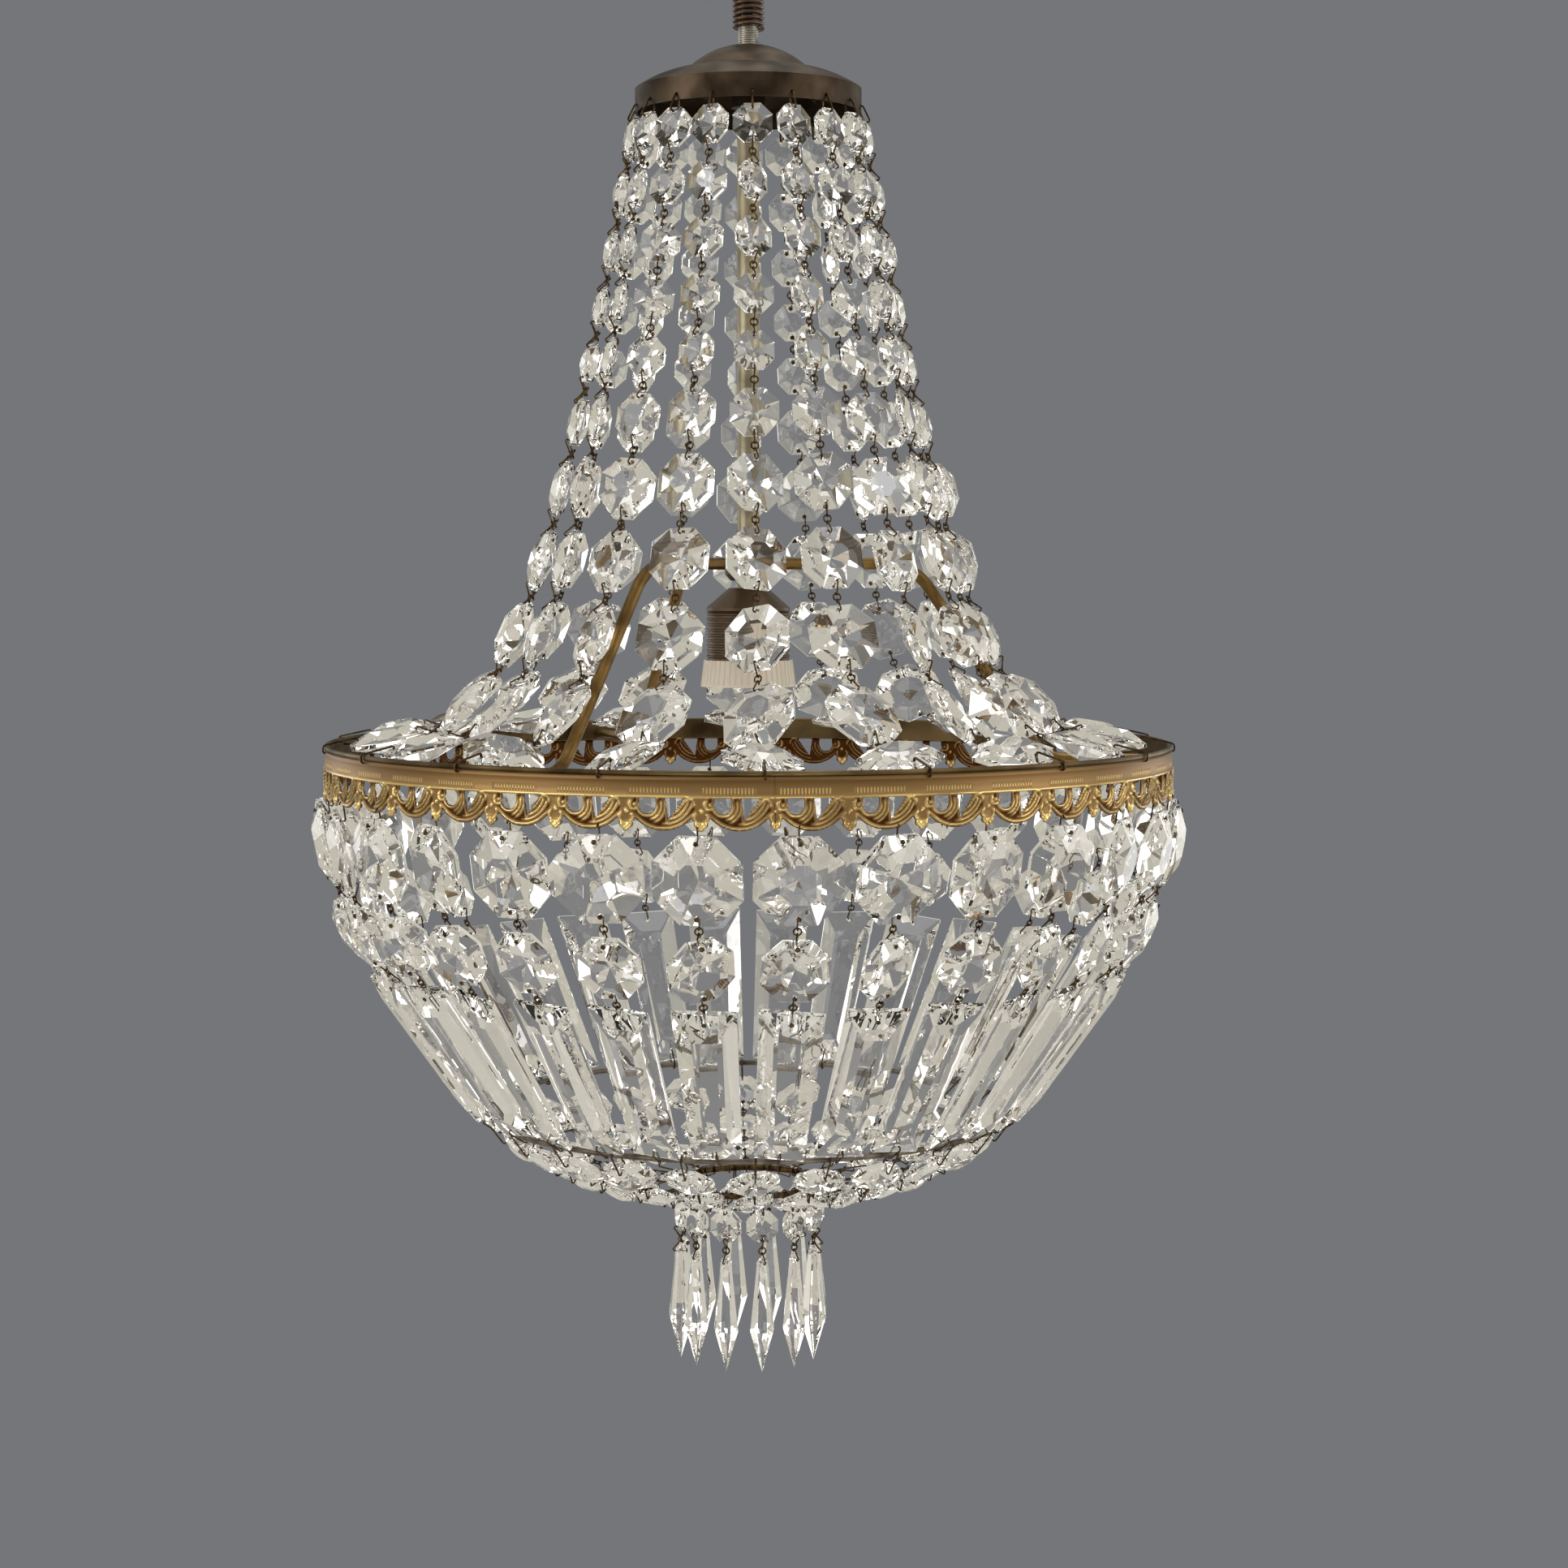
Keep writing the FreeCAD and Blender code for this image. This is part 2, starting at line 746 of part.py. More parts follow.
# Dish: short strands close the basket down to a small ring. Every second strand ends in
# one more octagon, and the others end in a long wire, because the octagons would touch.

def dish(ring):
    """Strings the dish between the wire ring and the small ring, and returns the latter."""
    small = (bottom_ring_radius, ring[1] - bottom_ring_drop)
    chord = add(small, ring, -1)
    start_tilt = math.radians(dish_start_tilt)
    half_turn = math.atan2(-chord[0], -chord[1]) - start_tilt
    arc = math.hypot(chord[0], chord[1]) / 2 / math.sin(half_turn)
    middle = add(ring, (-arc * math.cos(start_tilt), arc * math.sin(start_tilt)))

    def place(length):
        """The point of the dish's arc at a length from the wire ring, and the way down it."""
        tilt = start_tilt + length / arc
        point = add(middle, (arc * math.cos(tilt), -arc * math.sin(tilt)))
        return point, (-math.sin(tilt), -math.cos(tilt))

    sizes = dish_sizes + [dish_last_size]
    free = 2 * half_turn * arc - dish_hook - bottom_ring_hook - sum(sizes)
    gap = free / (len(sizes) - 1)
    length = dish_hook
    strand = []
    for size in sizes:
        centre, down = place(length + size / 2)
        strand.append(hanging_octagon(add(centre, down, -octagon_span(size) / 2), down, size))
        length += size + gap

    half = dish_strands // 2
    pitch = 360.0 / dish_strands
    counts = [dish_strands] * len(dish_sizes) + [half]
    rows = []
    for piece, size, count in zip(strand, sizes, counts):
        rows.append(around(hung(octagon(size), piece.middle, piece.down), count, dish_turn))
    save("dish_outer_octagons", rows[0])
    save("dish_inner_octagons", sum(rows[1:], []))
    last = strand[-1]

    grip = (ring, ring_wire + wire_slack + half_wire)
    small_grip = (small, bottom_ring_wire + wire_slack + half_wire)
    shapes = [wire_loop([grip] + bar(*strand[0].top_bar()))]
    shapes += linked(strand[0].bottom_bar(), strand[1].top_bar())
    shapes += linked(strand[1].bottom_bar(), strand[2].top_bar())
    links = []
    for shape in shapes:
        links += around(shape, dish_strands, dish_turn)
    shapes = linked(strand[2].bottom_bar(), last.top_bar())
    shapes.append(wire_loop(bar(*last.bottom_bar()) + [small_grip]))
    for shape in shapes:
        links += around(shape, half, dish_turn)
    long_wire = wire_loop(bar(*strand[2].bottom_bar()) + [small_grip])
    links += around(long_wire, half, dish_turn + pitch)
    save("dish_links", links)
    save("bottom_ring", torus_ring(small[0], bottom_ring_wire, small[1]))
    print("gap between dish octagons", round(gap, 2))
    for piece in strand:
        print("dish row", [round(v, 1) for v in piece.middle])
    return small


# Tassels: an octagon and a spear on each, swinging at the small ring and at their link

def spear_ring(width, depth):
    """Corners of the spear's section, a given width across corners, flat to the front."""
    turns = [2 * math.pi * (i + 0.5) / spear_sides for i in range(spear_sides)]
    return [Vector(width / 2 * math.sin(t), width / 2 * math.cos(t), -depth) for t in turns]


def spear():
    """A faceted spear drop that points down, with its top face at the origin."""
    levels = [
        (spear_crown_width, 0), (spear_top_width, spear_crown),
        (spear_neck_width, spear_neck), (spear_width, spear_belly),
    ]
    rings = [spear_ring(width, depth) for width, depth in levels]
    tip = Vector(0, 0, -spear_length)
    faces = [rings[0]]
    for i in range(spear_sides):
        j = (i + 1) % spear_sides
        for upper, lower in zip(rings, rings[1:]):
            faces.append([upper[i], upper[j], lower[j], lower[i]])
        faces.append([rings[-1][i], rings[-1][j], tip])
    start = Vector(0, -spear_width, -spear_hole_inset)
    drill = Part.makeCylinder(hole_radius, 2 * spear_width, start, Vector(0, 1, 0))
    return closed_solid(faces).cut(drill)


def tassel_set(small):
    down = (0, -1)
    bead_top = add(small, down, tassel_hook)
    bead = hanging_octagon(bead_top, down, tassel_size)
    drop_top = add(bead.bottom, down, tassel_link)
    swell = spear_neck_width - spear_top_width
    swell *= (spear_hole_inset - spear_crown) / (spear_neck - spear_crown)
    spear_half = (spear_top_width + swell) / 2 * math.cos(math.pi / spear_sides)
    drop = Hanging(drop_top, down, spear_length, (spear_half, spear_half))
    grip = (small, bottom_ring_wire + wire_slack + half_wire)
    upper_wire = wire_loop([grip] + bar(*bead.top_bar()))
    lower_wire, eye, drop_wire = linked(bead.bottom_bar(), drop.top_bar())
    beads = [hung(octagon(tassel_size), bead.middle, down), upper_wire, lower_wire, eye]
    drops = [hung(spear(), add(drop_top, down, -spear_hole_inset), down), drop_wire]
    for i in range(tassels):
        turn = tassel_turn + 360.0 * i / tassels
        number = str(i + 1).zfill(2)
        save("tassel_bead_" + number, [around(s, 1, turn)[0] for s in beads])
        save("tassel_spear_" + number, [around(s, 1, turn)[0] for s in drops])
    pivot = add(unit_mean([bead.bottom, drop_top]), down, eye_overlap + tip_radius)
    print("tassel hinge", small, "spear hinge", pivot)


# Arms: three bent rods from the hub to the inside of the band

def arm_path():
    """The centre line of an arm, with its two bends, from the hub to its foot."""
    foot_height = band_top - hoop_height + arm_radius
    inside = band_sections()[1]
    points = [
        (hub_radius - arm_socket, arm_level),
        (arm_knee, arm_level),
        (arm_ankle, foot_height),
        (inside - arm_foot_gap, foot_height),
    ]
    bends = [arm_knee_bend, arm_ankle_bend]
    edges = []
    last = points[0]
    for before, corner, after, radius in zip(points, points[1:], points[2:], bends):
        way_in = unit(add(corner, before, -1))
        way_out = unit(add(after, corner, -1))
        turn = math.acos(way_in[0] * way_out[0] + way_in[1] * way_out[1])
        cut_back = radius * math.tan(turn / 2)
        start = add(corner, way_in, -cut_back)
        end = add(corner, way_out, cut_back)
        inward = unit(add(way_out, way_in, -1))
        crown = add(corner, inward, radius / math.cos(turn / 2) - radius)
        edges.append(Part.LineSegment(plane_point(last), plane_point(start)).toShape())
        edges.append(Part.Arc(plane_point(start), plane_point(crown), plane_point(end)).toShape())
        last = end
    edges.append(Part.LineSegment(plane_point(last), plane_point(points[-1])).toShape())
    return Part.Wire(edges), points[0]


def arm_set():
    path, root = arm_path()
    section = Part.Wire(Part.Circle(plane_point(root), Vector(0, -1, 0), arm_radius).toShape())
    rod = path.makePipeShell([section], True, False)
    save("support_arms", around(rod, arms, arm_turn))

    half = hub_height / 2
    waist = hub_radius - hub_bevel
    outline = [
        (stem_radius + hub_clearance, arm_level - half),
        (waist, arm_level - half),
        (hub_radius, arm_level - half + hub_bevel_height),
        (hub_radius, arm_level + half - hub_bevel_height),
        (waist, arm_level + half),
        (stem_radius + hub_clearance, arm_level + half),
    ]
    hub = revolved(outline)
    socket = Part.makeCylinder(
        arm_radius + hub_clearance, 3 * arm_socket,
        Vector(0, -hub_radius + arm_socket + hub_clearance, arm_level), Vector(0, -1, 0),
    )
    save("arm_hub", hub.cut(around(socket, arms, arm_turn)))


# Lampholder: a screwed case with its fluted ring, ceramic core, screw shell and contact

def lampholder():
    cap_low = holder_shoulder + running_gap
    outline = [
        (stem_radius + hub_clearance, holder_top),
        (stem_radius + hub_clearance, holder_top - holder_wall),
        (holder_radius - holder_cap_step, cap_low),
        (holder_radius, cap_low),
        (holder_radius, cap_low + holder_cap_edge),
        (stem_radius + 2 * holder_wall, holder_top),
    ]
    save("lampholder_cap", revolved(outline))

    ring_bottom = holder_bottom
    ring_top = ring_bottom + shade_ring_height
    body_outline = [(holder_radius - holder_wall, holder_bottom)]
    height = holder_bottom
    root = holder_radius - holder_thread_depth
    flat = holder_root_share * holder_thread_pitch
    slope = holder_slope_share * holder_thread_pitch
    while height < holder_shoulder - holder_thread_pitch:
        body_outline.append((root, height))
        body_outline.append((root, height + flat))
        body_outline.append((holder_radius, height + flat + slope))
        body_outline.append((holder_radius, height + holder_thread_pitch - slope))
        height += holder_thread_pitch
    body_outline.append((root, height))
    body_outline.append((holder_radius, holder_shoulder))
    body_outline.append((holder_radius - holder_wall, holder_shoulder))
    save("lampholder_body", revolved(body_outline))

    ring = revolved([
        (holder_radius + running_gap, ring_bottom),
        (shade_ring_radius, ring_bottom),
        (shade_ring_radius - shade_ring_draft, ring_top),
        (holder_radius + running_gap, ring_top),
    ])
    groove = Part.makeCylinder(
        flute_radius, shade_ring_height,
        Vector(0, -shade_ring_radius, ring_bottom + flute_rise),
        Vector(0, shade_ring_draft, shade_ring_height),
    )
    save("shade_ring", ring.cut(around(groove, shade_ring_flutes, 0)))

    roof_bottom = core_top - core_height / 2
    core_bore = shell_radius + shell_wall + hub_clearance
    core = tube(core_radius, core_bore, core_top - 2 * core_height, core_top)
    roof = tube(core_radius, pin_hole, roof_bottom, core_top)
    save("socket_core", core.fuse(roof).removeSplitter())
    shell_top = roof_bottom - contact_height - running_gap
    shell = tube(shell_radius + shell_wall, shell_radius, shell_top - shell_length, shell_top)
    save("screw_shell", shell)
    plate = tube(contact_radius, contact_hole, roof_bottom - contact_height, roof_bottom)
    save("centre_contact", plate)


suspension()
coil()
cap()
tent()
band()
wire_ring = basket()
tassel_set(dish(wire_ring))
arm_set()
lampholder()
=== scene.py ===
# Crystal basket chandelier, dressed piece by piece in the order that it is put together.
# Metres, +Z up, the front towards -Y. A strand is worked out in the plane of radius and
# height, and then set out at equal turns about the stem.
import bpy
import math
import numpy as np
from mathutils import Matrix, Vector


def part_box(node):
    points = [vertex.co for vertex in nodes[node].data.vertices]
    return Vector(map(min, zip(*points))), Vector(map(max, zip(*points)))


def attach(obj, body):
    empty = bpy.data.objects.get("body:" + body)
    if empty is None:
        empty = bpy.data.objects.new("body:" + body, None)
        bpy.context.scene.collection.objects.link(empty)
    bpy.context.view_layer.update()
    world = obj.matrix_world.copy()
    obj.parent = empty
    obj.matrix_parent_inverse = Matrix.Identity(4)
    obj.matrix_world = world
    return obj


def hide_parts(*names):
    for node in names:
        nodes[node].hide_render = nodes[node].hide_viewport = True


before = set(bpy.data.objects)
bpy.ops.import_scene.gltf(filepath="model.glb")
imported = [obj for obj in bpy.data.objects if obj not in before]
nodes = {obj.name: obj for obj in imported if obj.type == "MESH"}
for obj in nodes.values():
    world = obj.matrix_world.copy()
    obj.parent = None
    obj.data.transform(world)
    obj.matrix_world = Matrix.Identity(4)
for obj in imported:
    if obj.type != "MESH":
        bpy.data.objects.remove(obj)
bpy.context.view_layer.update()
mm = 0.001


# Threaded nipple. A zinc-plated steel tube, M10 x 1, with its thread rolled all along.
# It screws into a bush at the ceiling, and the whole chandelier hangs from it.

def linear(code):
    """The linear colour of an sRGB hex value."""
    parts = [int(code[i:i + 2], 16) / 255 for i in (1, 3, 5)]
    return [p / 12.92 if p <= 0.04045 else ((p + 0.055) / 1.055) ** 2.4 for p in parts] + [1.0]


def add_node(tree, kind, inputs, **settings):
    """Adds one node with its settings, and sets or links each named input."""
    node = tree.nodes.new(kind)
    for key, value in settings.items():
        setattr(node, key, value)
    for key, value in inputs.items():
        if isinstance(value, bpy.types.NodeSocket):
            tree.links.new(value, node.inputs[key])
        else:
            node.inputs[key].default_value = value
    return node


def new_material(name, sockets):
    """A material of one Principled shader, with some sockets set to constant values."""
    material = bpy.data.materials.new(name)
    material.use_nodes = True
    tree = material.node_tree
    tree.nodes.clear()
    shader = add_node(tree, "ShaderNodeBsdfPrincipled", sockets)
    add_node(tree, "ShaderNodeOutputMaterial", {"Surface": shader.outputs[0]})
    return material, tree, shader


def aged_metal(name, deep, rubbed, patch, gloss, mark, depth):
    """A bare metal with soft tarnish: deep and rubbed are its two colours, patch the size of
    the stains, gloss the least and greatest roughness, mark and depth the size of fine marks."""
    material, tree, shader = new_material(name, {"Metallic": 1.0})
    place = add_node(tree, "ShaderNodeTexCoord", {}).outputs["Object"]
    stains = add_node(tree, "ShaderNodeTexNoise", {
        "Vector": place, "Scale": 1 / patch, "Detail": 4.0, "Roughness": 0.5})
    tone = add_node(tree, "ShaderNodeMapRange", {
        "Value": stains.outputs["Fac"], "From Min": 0.3, "From Max": 0.7})
    colour = add_node(tree, "ShaderNodeMix", {
        "Factor": tone.outputs["Result"], "A": linear(deep), "B": linear(rubbed)},
        data_type="RGBA")
    marks = add_node(tree, "ShaderNodeTexNoise", {
        "Vector": place, "Scale": 1 / mark, "Detail": 4.0})
    dull = add_node(tree, "ShaderNodeMapRange", {
        "Value": stains.outputs["Fac"], "From Min": 0.3, "From Max": 0.7,
        "To Min": gloss[1], "To Max": gloss[0]})
    relief = add_node(tree, "ShaderNodeBump", {
        "Height": marks.outputs["Fac"], "Strength": 0.6, "Distance": depth})
    tree.links.new(colour.outputs["Result"], shader.inputs["Base Color"])
    tree.links.new(dull.outputs["Result"], shader.inputs["Roughness"])
    tree.links.new(relief.outputs["Normal"], shader.inputs["Normal"])
    return material


def grid_faces(rows, columns, close_rows=False, close_columns=True):
    """The quads of a grid of points, which may close on itself either way."""
    i = np.arange(rows if close_rows else rows - 1)[:, None]
    j = np.arange(columns if close_columns else columns - 1)[None, :]
    a = i * columns + j
    b = i * columns + (j + 1) % columns
    below = (i + 1) % rows * columns
    return np.stack([a, b, below + (j + 1) % columns, below + j], -1).reshape(-1, 4)


def add_piece(name, points, faces, material, body, slot, smooth=False):
    """A piece from an array of points and its faces, riding on a body."""
    mesh = bpy.data.meshes.new(name)
    faces = faces.tolist() if isinstance(faces, np.ndarray) else faces
    mesh.from_pydata(points.reshape(-1, 3).tolist(), [], faces)
    mesh.polygons.foreach_set("use_smooth", [smooth] * len(mesh.polygons))
    mesh.materials.append(material)
    mesh.validate()
    piece = bpy.data.objects.new(name, mesh)
    bpy.context.scene.collection.objects.link(piece)
    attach(piece, body)
    return piece


def dress(material, *names):
    """Gives CAD nodes their material."""
    for name in names:
        nodes[name].data.materials.clear()
        nodes[name].data.materials.append(material)


# Plated steel is pale and a little blue, with a grey bloom in the thread.
plated_steel = aged_metal(
    "zinc_plated_steel", "#85827c", "#c9c4bb",
    patch=6 * mm, gloss=(0.25, 0.45), mark=0.4 * mm, depth=0.02 * mm)


def threaded_tube(low, high, outer, bore, pitch, depth, sides=36, steps=6):
    """A tube with a thread: the radius falls from the crest by a triangle wave of the height
    in pitches less the turn, and the grid closes through the bore."""
    rows = int(round((high - low) / pitch * steps)) + 1
    height = np.linspace(low, high, rows)[:, None]
    turn = np.arange(sides)[None, :] / sides
    wave = np.abs((height / pitch - turn) % 1.0 - 0.5) * 2
    radius = outer - depth * wave
    radius = np.vstack([radius, np.full((2, sides), bore)])
    height = np.vstack([height + 0 * turn, np.full((1, sides), high), np.full((1, sides), low)])
    angle = 2 * math.pi * turn
    points = np.stack([radius * np.cos(angle), radius * np.sin(angle), height], -1)
    return points, grid_faces(rows + 2, sides, close_rows=True)


thread_pitch = 1.0 * mm
thread_depth = 0.5 * mm
nipple_bore = 3.6 * mm
nipple_low, nipple_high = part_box("threaded_nipple")
nipple = add_piece(
    "nipple_thread",
    *threaded_tube(nipple_low.z, nipple_high.z, nipple_high.x, nipple_bore, thread_pitch, thread_depth),
    plated_steel, "frame", "nickel_steel", smooth=True)
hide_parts("threaded_nipple")


# Wire coil. Thick copper wire with old brown lacquer, wound by hand round the nipple.
# The lacquer is glossy, with the copper showing through on the crests.

lacquered_copper, tree, shader = new_material(
    "lacquered_copper_wire", {"Metallic": 0.85, "Coat Weight": 0.6, "Coat Roughness": 0.2})
place = add_node(tree, "ShaderNodeTexCoord", {}).outputs["Object"]
lacquer = add_node(tree, "ShaderNodeTexNoise", {
    "Vector": place, "Scale": 1 / (5 * mm), "Detail": 5.0, "Roughness": 0.6})
tone = add_node(tree, "ShaderNodeMapRange", {
    "Value": lacquer.outputs["Fac"], "From Min": 0.35, "From Max": 0.65})
colour = add_node(tree, "ShaderNodeMix", {
    "Factor": tone.outputs["Result"], "A": linear("#2f1f14"), "B": linear("#6b4a31")},
    data_type="RGBA")
dull = add_node(tree, "ShaderNodeMapRange", {
    "Value": lacquer.outputs["Fac"], "To Min": 0.5, "To Max": 0.25})
tree.links.new(colour.outputs["Result"], shader.inputs["Base Color"])
tree.links.new(dull.outputs["Result"], shader.inputs["Roughness"])
dress(lacquered_copper, "wire_coil")


# Cap with its washer and nut, and the coupler under them. The cap is spun from thin brass
# and darkened to bronze, and the nut clamps it to the nipple from below.

# Old patina is olive-black in the hollows and a warm grey-brown where hands have rubbed it.
bronze = aged_metal(
    "patinated_spun_bronze", "#281f18", "#55473a",
    patch=18 * mm, gloss=(0.4, 0.55), mark=0.8 * mm, depth=0.03 * mm)
dress(bronze, "top_cap", "cap_washer", "cap_nut", "stem_coupler", "arm_hub")


# Stem tube. A drawn brass tube down the middle, once polished and now a dull pale brass.

pale_brass = aged_metal(
    "dull_drawn_brass", "#77705c", "#aba18a",
    patch=22 * mm, gloss=(0.3, 0.45), mark=0.6 * mm, depth=0.015 * mm)
dress(pale_brass, "stem_tube")


# Strands of the tent. Cut octagons of lead crystal, each with a flat table in front, a
# shallow eight-sided point behind and a hole near two ends. Headed brass pins go through
# the holes, are bent over, and hook round a small ring between each two octagons.

# Lead crystal bends light strongly, and is clear with a faint grey-rose cast in its depth.
crystal, tree, shader = new_material("cut_lead_crystal", {
    "Base Color": linear("#fefcfb"), "Roughness": 0.0, "IOR": 1.56, "Transmission Weight": 1.0})
place = add_node(tree, "ShaderNodeTexCoord", {}).outputs["Object"]
# Hand polishing leaves the facets very slightly wavy, a few millimetres from crest to crest.
waves = add_node(tree, "ShaderNodeTexNoise", {
    "Vector": place, "Scale": 1 / (7 * mm), "Detail": 1.0})
wavy = add_node(tree, "ShaderNodeBump", {
    "Height": waves.outputs["Fac"], "Strength": 0.5, "Distance": 0.02 * mm})
tree.links.new(wavy.outputs["Normal"], shader.inputs["Normal"])

# Old pin wire is brass gone nearly black, with warm glints on the outside of its bends.
pin_wire = aged_metal(
    "blackened_brass_pin", "#231b13", "#6b5335",
    patch=2.5 * mm, gloss=(0.3, 0.5), mark=0.3 * mm, depth=0.02 * mm)

girdle = 1.8 * mm
table_share = 0.45
front_rise = 0.14
back_rise = 0.16
hole_radius = 0.9 * mm
hole_inset_base = 0.5 * mm
hole_inset_share = 0.1
rng = np.random.default_rng(18)


def ring(sides, half, depth):
    """Corners of a regular polygon, half its width across flats, at a depth behind the middle."""
    turn = 2 * math.pi * (np.arange(sides) + 0.5) / sides
    reach = half / math.cos(math.pi / sides)
    return np.stack([reach * np.sin(turn), np.full(sides, depth), reach * np.cos(turn)], -1)


def drilled_ring(height, depth_at):
    """Eight points round a hole at a height, on a facet whose depth follows its height."""
    turn = np.radians(22.5 + 45 * np.arange(8)) + (math.pi if height < 0 else 0)
    up = height + hole_radius * np.sin(turn)
    return np.stack([hole_radius * np.cos(turn), depth_at(up), up], -1)


def four_sided(corners, hole):
    """The faces of a four-cornered facet round a hole, from its upper right corner."""
    faces = []
    for m in range(4):
        faces.append([corners[m], hole[2 * m + 1], hole[2 * m]])
        faces.append([corners[m], corners[(m + 1) % 4], hole[(2 * m + 2) % 8], hole[2 * m + 1]])
    return faces


def three_sided(corners, hole):
    """The faces of a facet with a level top and a low point, round a hole."""
    right, left, low = corners
    return [
        [right, left, hole[2], hole[1]], [left, hole[3], hole[2]], [left, hole[4], hole[3]],
        [left, low, hole[5], hole[4]], [low, hole[6], hole[5]], [low, right, hole[7], hole[6]],
        [right, hole[0], hole[7]], [right, hole[1], hole[0]],
    ]


def turned_over(faces):
    """Faces that look the other way."""
    return [list(reversed(face)) for face in faces]


def tunnel(front, back):
    """The walls of a hole between its two rings."""
    return [[front[k], front[(k + 1) % 8], back[(k + 1) % 8], back[k]] for k in range(8)]


def hole_inset(size):
    """How far a hole's centre lies inside the edge of an octagon."""
    return hole_inset_base + hole_inset_share * size


def front_depth(size, up):
    """How far in front of the middle an octagon's face lies at a height, beside its table."""
    return girdle / 2 + front_rise * size * (1 - 2 * np.abs(up) / size) / (1 - table_share)


def back_depth(size, up):
    """How far behind the middle an octagon's point reaches at a height."""
    return girdle / 2 + back_rise * size * (1 - 2 * np.abs(up) / size)


def cut_octagon(size):
    """The points of a cut octagon: table, two girdle rings and apex, then its holes' rings."""
    half = size / 2
    hole = half - hole_inset(size)
    holes = [
        drilled_ring(side * hole, lambda up: sign * depth(size, up))
        for sign, depth in ((-1, front_depth), (1, back_depth)) for side in (1, -1)
    ]
    return np.vstack([
        ring(8, half * table_share, -girdle / 2 - front_rise * size),
        ring(8, half, -girdle / 2), ring(8, half, girdle / 2),
        [[0, girdle / 2 + back_rise * size, 0]], *holes,
    ])


def octagon_faces():
    """The faces of a cut octagon, over the points of cut_octagon."""
    table, front, back, apex = range(0, 8), range(8, 16), range(16, 24), 24
    holes = [range(25 + 8 * k, 33 + 8 * k) for k in range(4)]
    faces = [list(reversed(table))]
    for i in range(8):
        j = (i + 1) % 8
        corners = [front[j], front[i], table[i], table[j]]
        faces.append([front[i], front[j], back[j], back[i]])
        if i in (7, 3):
            near, far = (holes[0], holes[2]) if i == 7 else (holes[1], holes[3])
            faces += four_sided(corners, near)
            faces += turned_over(three_sided([back[j], back[i], apex], far))
            faces += tunnel(near, far)
        else:
            faces += [corners, [back[i], back[j], apex]]
    return faces


shared_octagon_faces = octagon_faces()
level_with = 0.01 * mm


def strand_points(name, strands, turn):
    """The CAD points nearest one strand, as radius, height and distance to the side."""
    vertices = nodes[name].data.vertices
    points = np.empty(len(vertices) * 3)
    vertices.foreach_get("co", points)
    points = points.reshape(-1, 3)
    angle = (np.arctan2(points[:, 0], -points[:, 1]) - turn + math.pi) % (2 * math.pi) - math.pi
    reach = np.hypot(points[:, 0], points[:, 1])
    plane = np.stack([reach * np.cos(angle), points[:, 2], reach * np.sin(angle)], -1)
    return plane[np.abs(angle) < math.pi / strands]


def find_row(name, strands, turn, rows, key):
    """The crystals of one strand, as width, middle and way down in radius and height: the
    strand's points are split at the widest gaps along radius (0) or height (1), from the
    greatest down, and each crystal's sides give its middle and its lean."""
    plane = strand_points(name, strands, turn)
    plane = plane[np.argsort(-plane[:, key])]
    cuts = np.sort(np.argsort(-np.diff(plane[:, key]))[len(plane) - rows:]) + 1
    found = []
    for part in np.split(plane, cuts):
        side = part[part[:, 2] > part[:, 2].max() - level_with][:, :2]
        middle = side.mean(0)
        down = np.linalg.eigh(np.cov((side - middle).T))[1][:, -1]
        found.append((2 * part[:, 2].max(), middle, down * -np.sign(down[1])))
    return found


def round_about(place, turns):
    """A place or a way given as radius and height, at each azimuth."""
    return np.stack([place[0] * np.sin(turns), -place[0] * np.cos(turns), place[1] + 0 * turns], -1)


def set_out(points, origins, ups, turns, yaws=0.0):
    """Copies of an upright piece. Its height follows the way up, its width lies across the
    strand, and it is turned by a yaw in degrees about its own length."""
    across = np.stack([np.cos(turns), np.sin(turns), 0 * turns], -1)
    across = across - ups * (across * ups).sum(-1, keepdims=True)
    across = across / np.linalg.norm(across, axis=-1, keepdims=True)
    behind = np.cross(ups, across)
    yaws = np.broadcast_to(np.radians(yaws), turns.shape)[:, None]
    side = across * np.cos(yaws) + behind * np.sin(yaws)
    depth = behind * np.cos(yaws) - across * np.sin(yaws)
    return origins[:, None] + points @ np.stack([side, depth, ups], 1)


def add_parts(name, parts, material, body, slot, smooth=False):
    """A piece from parts, each an array of copied points with the faces of one copy."""
    points, faces, start = [], [], 0
    for copies, pattern in parts:
        for copy in copies:
            faces += [[start + k for k in face] for face in pattern]
            points.append(copy)
            start += len(copy)
    return add_piece(name, np.vstack(points), faces, material, body, slot, smooth)


wire = 0.4 * mm
wire_sides = 5
eye_radius = 1.7 * mm
hook_radius = 0.95 * mm
pin_bend = 1.0 * mm
pin_head = 1.2 * mm
pin_head_profile = np.array([0.75, 0.55, 0.2, 0.1]) * mm
pin_sag = 0.45 * mm


